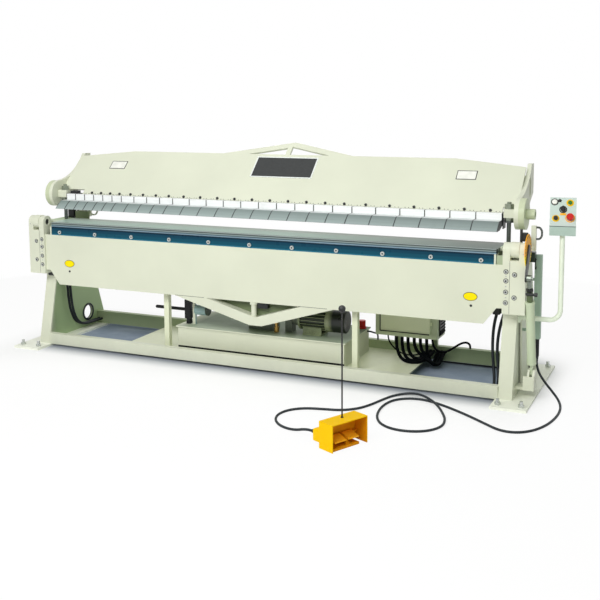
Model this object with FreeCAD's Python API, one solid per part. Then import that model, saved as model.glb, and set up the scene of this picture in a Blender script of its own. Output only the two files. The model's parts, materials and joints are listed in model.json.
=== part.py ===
import FreeCAD, Part
import math
import os
from FreeCAD import Vector

# Hydraulic box and pan brake, millimetres.
# X runs along the bending line, Y to the rear, Z up from the floor.
# The bending line and the apron's hinge axis lie at Y = 0, Z = bed_height.
# The beam is drawn fully raised and the apron hanging down.

# General
run_gap = 0.4
bore_gap = 0.1
plate_gap = 0.3
fit_gap = 0.5
bed_height = 860.0

# Clamping fingers: (number, width) from left to right
finger_sets = ((6, 76.2), (4, 101.6), (10, 127.0), (6, 152.4))
finger_names = ("fingers_76", "fingers_102", "fingers_127", "fingers_152")
finger_joint = 0.8
bending_length = sum(number * width for number, width in finger_sets)
bed_half = 0.5 * bending_length + 11.0
throat = 92.0
nose_back = 29.0
nose_flat = 3.0
facet_low = (64.0, 31.0)
facet_high = (92.0, 50.0)
band_front = 155.0
band_height = 39.0
holder_front = 185.0
holder_depth = 45.0
underside_flat = 100.0
underside_rise = 25.0

# Top beam
beam_half = bed_half + 65.0
panel_angle = 44.0
panel_thick = 10.0
panel_long = 409.5
panel_end_long = 352.0
panel_taper_x = bed_half - 370.0
panel_step = 1.0
corner_notch_left = bed_half - 125.0
corner_notch_right = bed_half - 18.0
corner_notch_rise = 40.0
rib_thick = 12.0
rib_count = 7
rib_back = 470.0
stiffener_thick = 10.0
end_plate_thick = 25.0
end_plate_top = bed_height + 443.0
end_plate_back = 545.0
trunnion_y = 182.0
trunnion_z = bed_height + 180.0
disc_radius = 90.0
disc_thick = 33.0
hub_radius = 30.0
hub_long = 47.0
hub_bore = 17.0
slot_y = 440.0
slot_low = bed_height + 250.0
slot_high = bed_height + 365.0
slot_half = 20.0

# Beam truss
truss_left = -450.0
truss_right = 493.0
truss_peak_x = 55.0
truss_peak_half = 11.0
truss_rise = 108.0
truss_bar = 42.0
truss_deep = 14.0
truss_strut = 33.0

# Lifting rods and lugs
rod_x = bed_half + 22.0
rod_y = 185.0
rod_radius = 12.5
rod_bottom = bed_height - 160.0
lug_inner = bed_half - 5.0
lug_low = bed_height + 155.0
lug_high = bed_height + 205.0
lug_front = 160.0
lug_back = 212.0
rod_nut_flats = 45.0
rod_nut_high = 28.0
rod_end = 12.0
clamp_barrel_radius = 22.0
clamp_barrel_low = bed_height - 288.0
clamp_barrel_floor = 18.0

# Finger bolts
finger_bolt_flats = 16.0
finger_bolt_high = 8.0
finger_bolt_up = 10.0

# Bed
bed_front = 2.0
bed_deep = 243.0
bed_plate = 25.0
bed_low = bed_height - 300.0
bed_web = 20.0
bed_web_back = 8.0
bed_flange = 15.0
bed_flange_deep = 82.0
bed_rear_web = 15.0
bed_rear_low = bed_height - 220.0
bed_rib_x = (200.0, 666.0, 1120.0)

# Apron
apron_half = bed_half + 38.0
apron_front = 26.0
apron_back = 12.0
apron_top = bed_height - 84.0
apron_low = bed_height - 425.0
apron_step_z = bed_height - 329.0
apron_step = 33.0
apron_chamfer_x = bed_half - 68.0
nose_thick = 12.0
nose_low = bed_height - 120.0
nose_half = bed_half - 5.0
bar_half = bed_half - 14.0
bar_front = 24.0
bar_top = bed_height - 28.0
bar_bolt_z = bed_height - 64.0
bar_bolt_count = 11
bar_bolt_end = 71.0
bar_bolt_pitch = 2 * (bar_half - bar_bolt_end) / (bar_bolt_count - 1)
bar_bolt_radius = 13.0
bar_bolt_high = 7.0
side_strip = 13.0
side_block_inner = bed_half + 1.0
side_block_front = 22.0

# Apron truss
vee_left = -545.0
vee_right = 561.0
vee_peak_left = -8.0
vee_peak_right = 77.0
vee_peak_z = bed_height - 572.0
vee_bar = 52.0
vee_front = 27.0
vee_back = 33.0
vee_plate = 12.0
vee_strut_x = 16.0
vee_strut_radius = 17.0

# Hinge brackets on the apron
bracket_outer = bed_half + 165.0
bracket_half_deep = 42.0
bracket_low = bed_height - 355.0
fork_inner = bed_half + 78.0
fork_outer = bed_half + 128.0
fork_low = bed_height - 54.0
pin_radius = 20.0
pin_inner = bed_half + 45.0
lug_half = 24.0
lug_centre_x = bed_half + 103.0
lug_radius = 45.0
bracket_bolt_flats = 18.0
bracket_bolt_high = 6.0
bracket_bolt_x = bed_half + 58.0
bracket_bolt_outer_x = bed_half + 105.0
bracket_bolts_inner = [(bracket_bolt_x, bed_height - down) for down in (117.0, 168.0, 231.0, 291.0)]
bracket_bolts_outer = [(bracket_bolt_outer_x, bed_height - down) for down in (131.0, 260.0)]
bracket_dowels = [(bracket_bolt_x, bed_height - down) for down in (142.0, 200.0, 261.0)]
bracket_dowels.append((bed_half + 151.0, bed_height - 14.0))
dowel_radius = 4.0
dowel_high = 2.0
dial_radius = 93.0
dial_thick = 4.0
lever_thick = 7.0
lever_arm = 157.0
lever_lead = 26.6
lever_hub_radius = 34.0
lever_eye_radius = 22.0
pin_nut_radius = 26.0

# Bending cylinders
cylinder_x = bed_half + 191.0
pivot_y = 75.0
pivot_z = 150.0
cylinder_radius = 24.0
barrel_low_along = 63.0
barrel_high_along = 450.0
gland_long = 18.0
gland_radius = 26.0
tongue_thick = 14.0
tongue_radius = 18.0
pivot_radius = 10.0
piston_rod_radius = 9.0
piston_bottom_along = 95.0
rod_eye_radius = 19.0
rod_eye_start = bed_half + 179.0
clevis_nut_long = 40.0
clevis_nut_radius = 13.0
cylinder_bracket_half = 40.0
cylinder_bracket_low = 62.0
cylinder_bracket_plate = 14.0
cylinder_bracket_left = bed_half + 150.0
cylinder_bracket_cover = 142.0
cheek_thick = 12.0
cheek_gap = 1.0
cheek_high = 176.0

# Stands
web_outer = bed_half + 105.0
web_thick = 12.0
flange_inner = bed_half + 25.0
foot_z = 15.0
foot_inner = bed_half + 10.0
foot_outer = bed_half + 212.0
foot_front = -185.0
foot_back = 760.0
leg_toe_y = -45.0
leg_knee_y = 55.0
leg_knee_z = 463.0
leg_top_z = bed_height - 60.0
head_front_y = 72.0
rear_toe_y = 712.0
rear_top_y = 433.0
flange_thick = 12.0
stand_hole_y = 492.0
stand_hole_z = 121.0
stand_hole_radius = 55.0
rod_plate_thick = 20.0
anchor_x = (bed_half + 45.0, bed_half + 175.0)
anchor_y = (-135.0, 715.0)
anchor_hole = 22.0
anchor_stud = 20.0
anchor_high = 50.0
anchor_flats = 30.0
anchor_nut = 16.0

# Floor frame
front_rail_y = -45.0
rail_thick = 8.0
front_rail_top = 88.0
front_rail_deep = 42.0
rear_rail_y = 600.0
rear_rail_top = 105.0
rear_rail_deep = 40.0
floor_plate_half = 990.0
floor_plate_z = 42.0
floor_plate_thick = 8.0
post_x = 666.0
post_y = 75.0
post_side = 35.0

# Power unit
tank_half = 590.0
tank_front = 75.0
tank_back = 516.0
tank_top = 200.0
tank_lid = 8.0
tank_lid_over = 10.0
motor_y = 230.0
motor_z = 303.0
motor_start = 240.0
motor_end = 425.0
motor_core = 62.0
motor_fin_radius = 72.0
motor_fins = 20
motor_fin_thick = 3.5
cowl_end = 553.0
cowl_radius = 74.0
motor_foot = 60.0
coupling_radius = 45.0
coupling_start = 190.0
pump_start = 123.0
pump_radius = 26.0
valve_x = 110.0
valve_radius = 16.0
breather_x = 555.0
breather_y = 480.0
breather_radius = 25.0
breather_high = 50.0
filter_left = -494.0
filter_right = -399.0
filter_y = 155.0
filter_z = 306.0
filter_radius = 33.0
pipe_x = -523.0
pipe_y = 155.0
pipe_radius = 13.5
manifold_left = -572.0
manifold_right = -530.0
manifold_low = 245.0
manifold_high = 371.0
manifold_bar_left = -800.0

# Electrical cabinet
cabinet_left = 680.0
cabinet_right = 1086.0
cabinet_front = 395.0
cabinet_back = 565.0
cabinet_low = 200.0
cabinet_top = 580.0
cabinet_wall = 12.0
door_left = 712.0
door_right = 1040.0
door_low = 228.0
door_top = 545.0
door_thick = 12.0
door_hinge_radius = 6.0
door_hinge_long = 40.0
gland_xs = (808.0, 846.0, 885.0, 926.0, 966.0, 1007.0)
gland_y = 430.0
gland_r = 10.0
gland_high = 16.0
mast_side = 35.0
mast_xs = (757.0, 1008.0)
cable_radius = 9.0
cable_drop = 50.0
thin_cable_radius = 4.5
thin_cable_x = 752.0
rail_cable_radius = 7.0
rail_cable_x = 1044.0
hose_radius = 9.0
thin_hose_radius = 7.0
hose_drop = 64.0
hose_pitch = 24.0
left_hose_out = 77.0
side_hose_exit = (224.0, 356.0)

# Right side services
duct_inner = bed_half + 169.0
duct_outer = bed_half + 208.0
duct_y = 205.0
duct_deep = 36.0
duct_low = 317.0
duct_high = bed_height - 55.0
conduit_radius = 14.0
conduit_low = 215.0
post_left = bed_half + 162.0
conduit_post_wide = 26.0
conduit_post_y = 112.0
conduit_post_low = bed_height - 18.0
conduit_post_high = bed_height + 124.0
conduit_loop_radius = 6.0
conduit_loop_high = 66.0
conduit_loop_reach = 31.0
switch_x = bed_half + 145.0
switch_y = 150.0
switch_wide = 34.0
switch_deep = 44.0
switch_low = bed_height - 88.0
switch_high = bed_height - 32.0
stop_left = -bed_half - 40.0
stop_right = -bed_half + 53.0
stop_y = 330.0
stop_deep = 50.0
stop_high = 45.0
stop_hook_radius = 36.0

# Pendant
arm_x = bed_half + 333.0
arm_y = 107.0
arm_radius = 14.0
arm_low_z = 460.0
arm_bend = 60.0
pendant_wide = 140.0
pendant_low = 943.0
pendant_front_high = 75.0
pendant_turn = 8.0
pendant_slope = 60.0
pendant_face_long = 146.0
pendant_deep_low = 60.0

# Foot pedal
pedal_x = 1010.0
pedal_y = -1001.0
pedal_turn = 63.9
pedal_wide = 234.0
pedal_deep = 98.0
pedal_high = 138.0
pedal_wall = 5.0
pedal_base = 12.0
pedal_back = 12.0
pedal_base_gap = 40.0
pedal_base_step = 12.0
pedal_tread_ends = (28.0, 38.0)
pedal_tread_front = 16.0
pedal_rib = 3.0
pedal_rib_gap = 6.0
pedal_rib_high = 46.0
handle_top = 684.0
handle_radius = 4.0
handle_ball = 18.0
boss_in = 34.0
boss_z = 56.0
boss_radius = 31.0
boss_long = 45.0
boss_nut = 11.0
cord_radius = 7.0
cord_lie = 7.6
cord_top = 25.5
cord_route = (
    (1740, 214, 118), (1778, 196, 72), (1828, 158, 34), (1874, 84, 14), (1902, -10, cord_lie),
    (1912, -120, cord_lie), (1904, -236, cord_lie), (1880, -352, cord_lie), (1832, -456, cord_lie),
    (1760, -518, cord_lie), (1672, -516, cord_lie), (1578, -440, cord_lie), (1474, -358, cord_lie),
    (1372, -286, cord_lie), (1270, -226, cord_lie), (1176, -188, cord_lie), (1088, -200, cord_lie),
    (1020, -262, cord_lie), (998, -366, cord_lie), (1006, -478, cord_lie), (1034, -582, cord_lie),
    (1088, -668, cord_lie), (1170, -714, cord_lie), (1268, -710, cord_lie), (1350, -660, cord_lie),
    (1392, -570, cord_lie), (1376, -462, cord_lie), (1334, -366, cord_lie), (1290, -292, 15),
    (1236, -234, cord_top), (1142, -152, cord_top), (1062, -138, 15), (994, -188, cord_lie),
    (960, -290, cord_lie), (932, -392, cord_lie), (888, -484, cord_lie), (812, -544, cord_lie),
    (712, -562, cord_lie), (616, -586, cord_lie), (548, -646, cord_lie), (524, -734, cord_lie),
    (550, -824, cord_lie), (612, -892, cord_lie), (684, -930, 12), (738, -955, 24), (784, -979, 42))


# Routes of the cables and hoses that the machine holds, without their ends

cable_routes = (
    ((842, 377, 84), (886, 339, 64), (943, 325, 60), (991, 355, 61), (1003, 416, 62), (1007, 476, 64),
     (1007, 544, 70)),
    ((869, 396, 94), (901, 366, 68), (948, 356, 61), (976, 397, 61), (985, 447, 62), (987, 498, 65),
     (987, 554, 70)),
    ((903, 405, 100), (934, 391, 72), (959, 418, 61), (962, 463, 62), (964, 509, 65), (964, 559, 70)),
    ((975, 388, 102), (1024, 368, 81), (1066, 386, 48), (1082, 438, 31), (1083, 492, 44), (1081, 550, 72)),
    ((998, 408, 100), (1032, 400, 66), (1056, 421, 31), (1061, 465, 27), (1060, 510, 43), (1059, 557, 72)),
    ((1018, 427, 88), (1032, 438, 44), (1036, 470, 22), (1037, 513, 37), (1037, 557, 72)))
thin_cable_route = ((786, 444, 110), (816, 456, 84), (849, 473, 65), (884, 495, 57), (915, 523, 56),
                    (941, 562, 60))
rail_cable_route = ((1068, 452, 116), (1093, 480, 103), (1118, 512, 102), (1140, 545, 112), (1163, 574, 128),
                    (1189, 599, 142), (1214, 613, 146), (1232, 620, 136), (1238, 622, 121))
# Points of the side hoses, X counted outward from the bed's end
left_hose_route = ((76, 240, 364), (76, 248, 266), (75, 267, 170), (73, 314, 85),
                   (73, 404, 52), (72, 512, 50))
right_hose_starts = ((13, 120), (49, 188))
right_hose_routes = (
    ((-27, 158, 428), (-48, 176, 362), (-58, 185, 291), (-58, 186, 218), (-51, 184, 146),
     (-40, 165, 78), (-28, 107, 40), (-24, 28, 34)),
    ((-3, 188, 411), (-25, 188, 334), (-32, 188, 255), (-28, 187, 175), (-19, 176, 97),
     (-8, 121, 44), (-3, 35, 34)))
side_hose_route = ((10, 214, 281), (0, 210, 219), (0, 206, 157), (6, 189, 98), (13, 145, 55),
                   (18, 87, 35), (18, 19, 34))
tank_hose_route = ((635, 511, 176), (643, 536, 168), (644, 562, 161), (641, 588, 152), (638, 612, 130))


def box(x0, x1, y0, y1, z0, z1):
    return Part.makeBox(x1 - x0, y1 - y0, z1 - z0, Vector(x0, y0, z0))


def cyl(start, axis, radius, length):
    return Part.makeCylinder(radius, length, Vector(*start), Vector(*axis))


def polygon(points, sweep):
    outline = Part.makePolygon([Vector(*p) for p in points] + [Vector(*points[0])])
    return Part.Face(outline).extrude(Vector(*sweep))


def prism_x(points, x0, x1):
    return polygon([(x0, y, z) for y, z in points], (x1 - x0, 0, 0))


def prism_y(points, y0, y1):
    return polygon([(x, y0, z) for x, z in points], (0, y1 - y0, 0))


def fuse(shapes):
    whole = shapes[0].multiFuse(shapes[1:]) if len(shapes) > 1 else shapes[0]
    return whole.removeSplitter()


def hexagon(centre, axis, flats, high):
    """Hexagonal prism that stands on a point and points along an axis."""
    return ring_prism(centre, axis, flats / math.sqrt(3), high, 6)


def ring_prism(centre, axis, reach, high, sides):
    """Regular prism whose corners lie at a given reach from its axis."""
    normal = Vector(*axis).normalize()
    side = normal.cross(Vector(0, 0, 1))
    if side.Length < 0.1:
        side = Vector(1, 0, 0)
    side.normalize()
    up = normal.cross(side)
    corners = []
    for n in range(sides):
        turn = 2 * math.pi * n / sides
        corner = Vector(*centre) + side * (reach * math.cos(turn)) + up * (reach * math.sin(turn))
        corners.append((corner.x, corner.y, corner.z))
    sweep = normal * high
    return polygon(corners, (sweep.x, sweep.y, sweep.z))


def mirrored(shape):
    return shape.mirror(Vector(0, 0, 0), Vector(1, 0, 0))


def both_sides(shape):
    return [shape, mirrored(shape)]


pieces = {}


def save(name, shapes):
    pieces[name] = shapes if isinstance(shapes, Part.Shape) else Part.makeCompound(shapes)


def frame_shift():
    """From the machine's own axes to the middle of its footprint on the floor."""
    bounds = FreeCAD.BoundBox()
    for name, shape in pieces.items():
        if name != "pedal_cord":
            bounds.add(shape.optimalBoundingBox(False))
    return Vector(-bounds.Center.x, -bounds.Center.y, 0)


def export_all():
    shift = frame_shift()
    print("frame shift", round(shift.x, 3), round(shift.y, 3))
    for name, shape in pieces.items():
        shape.translate(shift)
        shape.exportStep(os.path.join("parts", name + ".step"))


def bent_tube(label, points, radius, sides=8):
    """Tube of many sides along straight runs joined by tangent arcs."""
    corners = [Vector(*p) for p in points]
    edges = []
    radii = []
    start = corners[0]
    for before, here, after in zip(corners, corners[1:], corners[2:]):
        back = (before - here).normalize()
        ahead = (after - here).normalize()
        half = 0.5 * (math.pi - back.getAngle(ahead))
        cut = 0.45 * min((before - here).Length, (after - here).Length)
        bend = cut / math.tan(half)
        radii.append(bend)
        first = here + back * cut
        last = here + ahead * cut
        inward = (back + ahead).normalize()
        middle = here + inward * (bend / math.cos(half) - bend)
        edges.append(Part.LineSegment(start, first).toShape())
        edges.append(Part.Arc(first, middle, last).toShape())
        start = last
    edges.append(Part.LineSegment(start, corners[-1]).toShape())
    path = Part.Wire(edges)
    normal = (corners[1] - corners[0]).normalize()
    across = normal.cross(Vector(0, 0, 1))
    if across.Length < 0.1:
        across = Vector(1, 0, 0)
    across.normalize()
    along = normal.cross(across)
    rim = []
    for n in range(sides):
        turn = 2 * math.pi * (n + 0.5) / sides
        rim.append(corners[0] + across * (radius * math.cos(turn)) + along * (radius * math.sin(turn)))
    tube = path.makePipeShell([Part.makePolygon(rim + [rim[0]])], True, False)
    section = 0.5 * sides * radius ** 2 * math.sin(2 * math.pi / sides)
    print(label, "length", round(path.Length), "least radius", round(min(radii), 1),
          "volume ratio", round(tube.Volume / (path.Length * section), 4))
    return tube


# Clamping fingers

def finger_profile():
    tip = bed_height + throat
    return [(nose_back, tip), (nose_back + nose_flat, tip - 2.0), (underside_flat, tip - 2.0),
            (holder_front, tip - 2.0 + underside_rise), (holder_front, finger_top()),
            (band_front, finger_top()), (band_front, tip + facet_high[1]),
            (facet_high[0], tip + facet_high[1]), (facet_low[0], tip + facet_low[1])]


def finger_top():
    return bed_height + throat + facet_high[1] + band_height


def finger_run():
    return sum(count * width for count, width in finger_sets)


def fingers():
    """Groups of fingers of one width, and the middle of every finger."""
    groups = []
    middles = []
    x = -finger_run() / 2
    for count, width in finger_sets:
        group = []
        for _ in range(count):
            group.append(prism_x(finger_profile(), x + finger_joint / 2, x + width - finger_joint / 2))
            middles.append(x + width / 2)
            x += width
        groups.append(group)
    return groups, middles


# Top beam

def panel_point(along, inward=0.0):
    """Y and Z of a point up the slanted panel and behind its face."""
    turn = math.radians(panel_angle)
    y = holder_front + along * math.cos(turn) + inward * math.sin(turn)
    z = finger_top() + panel_step + along * math.sin(turn) - inward * math.cos(turn)
    return y, z


def on_panel(x, along, inward=0.0):
    y, z = panel_point(along, inward)
    return (x, y, z)


def panel_normal():
    turn = math.radians(panel_angle)
    return (0, -math.sin(turn), math.cos(turn))


def inward_sweep(depth):
    turn = math.radians(panel_angle)
    return (0, depth * math.sin(turn), -depth * math.cos(turn))


def beam_panel():
    outline = [on_panel(x, along) for x, along in (
        (-corner_notch_left, 0), (corner_notch_right, 0),
        (corner_notch_right, corner_notch_rise), (beam_half, corner_notch_rise),
        (beam_half, panel_end_long), (panel_taper_x, panel_long), (-panel_taper_x, panel_long),
        (-beam_half, panel_end_long), (-beam_half, corner_notch_rise),
        (-corner_notch_left, corner_notch_rise))]
    plate = polygon(outline, inward_sweep(panel_thick))
    seat = finger_top() + panel_step
    plate = plate.cut(box(-beam_half, beam_half, holder_front - 5, holder_front + 60, seat - 40, seat))
    rib_low = panel_point(60.0, panel_thick)
    rib_high = panel_point(300.0, panel_thick)
    ribs = []
    pitch = 2 * (corner_notch_left - 60) / (rib_count - 1)
    for n in range(rib_count):
        x = -(corner_notch_left - 60) + n * pitch
        ribs.append(prism_x([(holder_front + 20, seat), (holder_front + holder_depth, seat),
                             (rib_back, rib_high[1] - 120), (rib_back, rib_high[1]), rib_high, rib_low,
                             panel_point(20.0, panel_thick)],
                            x - rib_thick / 2, x + rib_thick / 2))
    stiffener = box(-beam_half, beam_half, rib_back, rib_back + stiffener_thick,
                    rib_high[1] - 110, rib_high[1] - 10)
    return fuse([plate] + ribs + [stiffener])


def beam_truss():
    """Flat inverted V with an upright in the plane of the slanted panel."""
    top = panel_long
    peak = panel_long + truss_rise
    slope_left = truss_rise / (truss_peak_x - truss_peak_half - truss_left)
    slope_right = truss_rise / (truss_right - truss_peak_x - truss_peak_half)
    outer = [(truss_left, top), (truss_peak_x - truss_peak_half, peak),
             (truss_peak_x + truss_peak_half, peak), (truss_right, top)]
    inner_left = truss_left + truss_bar / slope_left
    inner_right = truss_right - truss_bar / slope_right
    near = truss_peak_x - 25 - truss_strut / 2
    far = near + truss_strut
    left_high = top + (near - inner_left) * slope_left
    right_high = top + (inner_right - far) * slope_right
    sweep = inward_sweep(truss_deep)
    frame = polygon([on_panel(x, s) for x, s in outer], sweep)
    for hole in ([(inner_left, top), (near, top), (near, left_high)],
                 [(far, top), (inner_right, top), (far, right_high)]):
        frame = frame.cut(polygon([on_panel(x, s) for x, s in hole], sweep))
    return frame


def beam_end():
    """Right end plate with the trunnion disc's seat and a hollowed front edge."""
    outline = [(trunnion_y, trunnion_z + disc_radius), (end_plate_back - 65, end_plate_top),
               (end_plate_back, end_plate_top), (end_plate_back, end_plate_top - 175),
               (trunnion_y + 60, trunnion_z - disc_radius + 18), (trunnion_y, trunnion_z - disc_radius)]
    start = Vector(beam_half, *outline[0])
    stop = Vector(beam_half, *outline[1])
    middle = Vector(beam_half, 0.5 * (outline[0][0] + outline[1][0]) + 25,
                    0.5 * (outline[0][1] + outline[1][1]) - 32)
    edges = [Part.Arc(start, middle, stop).toShape()]
    corners = [Vector(beam_half, y, z) for y, z in outline[1:]] + [start]
    for a, b in zip(corners, corners[1:]):
        edges.append(Part.LineSegment(a, b).toShape())
    plate = Part.Face(Part.Wire(edges)).extrude(Vector(end_plate_thick, 0, 0))
    disc_bed = cyl((beam_half, trunnion_y, trunnion_z), (1, 0, 0), disc_radius, end_plate_thick)
    return fuse([plate, disc_bed]).cut(end_slot())


def end_slot():
    """Upright round-ended slot near the back of the end plate."""
    low = slot_low + slot_half
    high = slot_high - slot_half
    ends = [cyl((beam_half, slot_y, z), (1, 0, 0), slot_half, end_plate_thick) for z in (low, high)]
    middle = box(beam_half, beam_half + end_plate_thick, slot_y - slot_half, slot_y + slot_half, low, high)
    return fuse(ends + [middle])


def trunnion():
    """Right trunnion disc and its stepped hub."""
    face = beam_half + end_plate_thick
    disc = cyl((face, trunnion_y, trunnion_z), (1, 0, 0), disc_radius, disc_thick)
    hub = cyl((face + disc_thick, trunnion_y, trunnion_z), (1, 0, 0), hub_radius, hub_long)
    bore = cyl((face + disc_thick + hub_long - 12, trunnion_y, trunnion_z), (1, 0, 0), hub_bore, 12)
    return fuse([disc, hub]).cut(bore)


def lifting_lug():
    """Right lug, welded to the end plate, with the lifting rod's hole."""
    block = box(lug_inner, beam_half, lug_front, lug_back, lug_low, lug_high)
    return block.cut(cyl((rod_x, rod_y, lug_low), (0, 0, 1), rod_radius + fit_gap, lug_high - lug_low))


def lifting_rod():
    rod = cyl((rod_x, rod_y, rod_bottom), (0, 0, 1), rod_radius,
              lug_high + rod_nut_high + rod_end - rod_bottom)
    return rod


def rod_nuts():
    nuts = []
    for z in (lug_high, lug_low - rod_nut_high):
        nut = hexagon((rod_x, rod_y, z), (0, 0, 1), rod_nut_flats, rod_nut_high)
        nuts.append(nut.cut(cyl((rod_x, rod_y, z), (0, 0, 1), rod_radius, rod_nut_high)))
    return nuts


def finger_holder():
    """Solid bar behind the fingers, with a keeper at each end."""
    seat = finger_top() + panel_step
    low = bed_height + throat - 2.0 + underside_rise
    half = finger_run() / 2
    bar = box(-half, half, holder_front, holder_front + holder_depth, low, seat)
    keeper = box(half, lug_inner - 1, band_front + 10, holder_front + holder_depth, low - 25, seat - 14)
    left = box(-corner_notch_left - 105, -corner_notch_left - 50, holder_front + 2,
               holder_front + holder_depth, seat, seat + 18)
    return [fuse([bar, keeper, mirrored(keeper), left])]


def finger_bolts(middles):
    bolts = []
    for x in middles:
        if -corner_notch_left + finger_bolt_flats < x < corner_notch_right - finger_bolt_flats:
            bolts.append(hexagon(on_panel(x, finger_bolt_up), panel_normal(), finger_bolt_flats,
                                 finger_bolt_high))
    return bolts


# Bed

def bed_nose():
    return box(-bed_half, bed_half, bed_front, bed_front + bed_deep, bed_height - bed_plate, bed_height)


def bed_beam():
    under = bed_height - bed_plate
    rear = bed_front + bed_deep - 15
    front = box(-bed_half, bed_half, bed_web_back, bed_web_back + bed_web, bed_low, under)
    flange = box(-bed_half, bed_half, bed_web_back, bed_web_back + bed_web + bed_flange_deep,
                 bed_low, bed_low + bed_flange)
    back = box(-bed_half, bed_half, rear - bed_rear_web, rear, bed_rear_low, under)
    ribs = []
    for x in bed_rib_x:
        rib = prism_x([(bed_web_back + bed_web, bed_low + bed_flange),
                       (bed_web_back + bed_web + bed_flange_deep, bed_low + bed_flange),
                       (rear - bed_rear_web, bed_rear_low), (rear - bed_rear_web, under),
                       (bed_web_back + bed_web, under)], x - rib_thick / 2, x + rib_thick / 2)
        ribs += both_sides(rib)
    return fuse([front, flange, back] + ribs)


# Apron

def apron_plate():
    outline = [(-apron_half, apron_top), (apron_half, apron_top), (apron_half, apron_step_z),
               (apron_half - apron_step, apron_step_z), (apron_chamfer_x, apron_low),
               (-apron_chamfer_x, apron_low), (-apron_half + apron_step, apron_step_z),
               (-apron_half, apron_step_z)]
    plate = prism_y(outline, -apron_front, -apron_back)
    block = box(side_block_inner, apron_half, -side_block_front, -apron_back, apron_top, bar_top - 4)
    strip = box(bar_half + run_gap, bar_half + side_strip - 2, -bar_front - 1, -apron_back,
                apron_top, bar_top)
    return fuse([plate, block, strip] + [mirrored(strip)])


def apron_nose():
    return box(-nose_half, nose_half, -nose_thick, 0, nose_low, bed_height)


def apron_bar():
    return box(-bar_half, bar_half, -bar_front, -nose_thick, apron_top, bar_top)


def bar_bolts():
    bolts = []
    reach = bar_bolt_pitch * (bar_bolt_count - 1) / 2
    for n in range(bar_bolt_count):
        x = -reach + n * bar_bolt_pitch
        bolts.append(ring_prism((x, -bar_front, bar_bolt_z), (0, -1, 0), bar_bolt_radius, bar_bolt_high, 12))
    return bolts


def apron_truss():
    """Box-section V below the apron, closed behind by a three-sided plate."""
    left_slope = (apron_low - vee_peak_z) / (vee_peak_left - vee_left)
    right_slope = (apron_low - vee_peak_z) / (vee_right - vee_peak_right)
    outer = [(vee_left, apron_low), (vee_peak_left, vee_peak_z), (vee_peak_right, vee_peak_z),
             (vee_right, apron_low)]
    middle = 0.5 * (vee_peak_left + vee_peak_right)
    inner_z = vee_peak_z + vee_bar
    inner = [(middle - (apron_low - inner_z) / left_slope, apron_low), (middle, inner_z),
             (middle + (apron_low - inner_z) / right_slope, apron_low)]
    vee = prism_y(outer, -vee_front, vee_back).cut(prism_y(inner, -vee_front, vee_back))
    plate = prism_y(outer, vee_back, vee_back + vee_plate)
    strut_low = inner_z + abs(middle - vee_strut_x) * left_slope - 6
    strut = cyl((vee_strut_x, -6, strut_low), (0, 0, 1), vee_strut_radius, apron_low - strut_low)
    collar = cyl((vee_strut_x, -6, apron_low - 16), (0, 0, 1), vee_strut_radius + 8, 16)
    return fuse([vee, plate, strut, collar])


def hinge_bracket():
    """Right hinge bracket: a round-topped block, forked over the stand's lug."""
    block = box(apron_half, bracket_outer, -bracket_half_deep, bracket_half_deep, bracket_low, bed_height)
    crown = cyl((apron_half, 0, bed_height), (1, 0, 0), bracket_half_deep, bracket_outer - apron_half)
    fork = box(fork_inner, fork_outer, -bracket_half_deep - 5, bracket_half_deep + 5,
               fork_low, bed_height + bracket_half_deep + 5)
    bore = cyl((apron_half, 0, bed_height), (1, 0, 0), pin_radius + bore_gap, bracket_outer - apron_half)
    return fuse([block, crown]).cut(fork).cut(bore)


def bracket_bolts():
    bolts = []
    for x, z in bracket_bolts_inner + bracket_bolts_outer:
        bolts.append(hexagon((x, -bracket_half_deep, z), (0, -1, 0), bracket_bolt_flats, bracket_bolt_high))
    for x, z in bracket_dowels:
        bolts.append(ring_prism((x, -bracket_half_deep, z), (0, -1, 0), dowel_radius, dowel_high, 6))
    return bolts


def lever_start():
    return bracket_outer + dial_thick + plate_gap


def hinge_pin(face):
    """Right hinge pin out to a face, with a collar on its end."""
    pin = cyl((pin_inner, 0, bed_height), (1, 0, 0), pin_radius, face - pin_inner)
    collar = cyl((face, 0, bed_height), (1, 0, 0), pin_nut_radius, 1.5)
    return fuse([pin, collar])


def angle_dial():
    face = bracket_outer
    disc = cyl((face, 0, bed_height), (1, 0, 0), dial_radius, dial_thick)
    return disc.cut(cyl((face, 0, bed_height), (1, 0, 0), pin_radius + bore_gap, dial_thick))


def lever_pin():
    turn = math.radians(lever_lead)
    return -lever_arm * math.sin(turn), bed_height - lever_arm * math.cos(turn)


def cylinder_lever():
    """Right lever between the hinge pin and the bending cylinder."""
    x = lever_start()
    py, pz = lever_pin()
    turn = math.radians(lever_lead)
    side = (math.cos(turn), -math.sin(turn))
    blade = prism_x([(side[0] * lever_hub_radius, bed_height + side[1] * lever_hub_radius),
                     (py + side[0] * lever_eye_radius, pz + side[1] * lever_eye_radius),
                     (py - side[0] * lever_eye_radius, pz - side[1] * lever_eye_radius),
                     (-side[0] * lever_hub_radius, bed_height - side[1] * lever_hub_radius)],
                    x, x + lever_thick)
    hub = cyl((x, 0, bed_height), (1, 0, 0), lever_hub_radius, lever_thick)
    eye = cyl((x, py, pz), (1, 0, 0), lever_eye_radius, lever_thick)
    bore = cyl((x, 0, bed_height), (1, 0, 0), pin_radius + bore_gap, lever_thick)
    hole = cyl((x, py, pz), (1, 0, 0), pivot_radius + bore_gap, lever_thick)
    return fuse([blade, hub, eye]).cut(bore).cut(hole)


# Bending cylinders

def cylinder_axis():
    py, pz = lever_pin()
    reach = math.hypot(py - pivot_y, pz - pivot_z)
    return (0, (py - pivot_y) / reach, (pz - pivot_z) / reach), reach


def along_cylinder(distance):
    axis, _ = cylinder_axis()
    return (cylinder_x, pivot_y + axis[1] * distance, pivot_z + axis[2] * distance)


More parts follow.
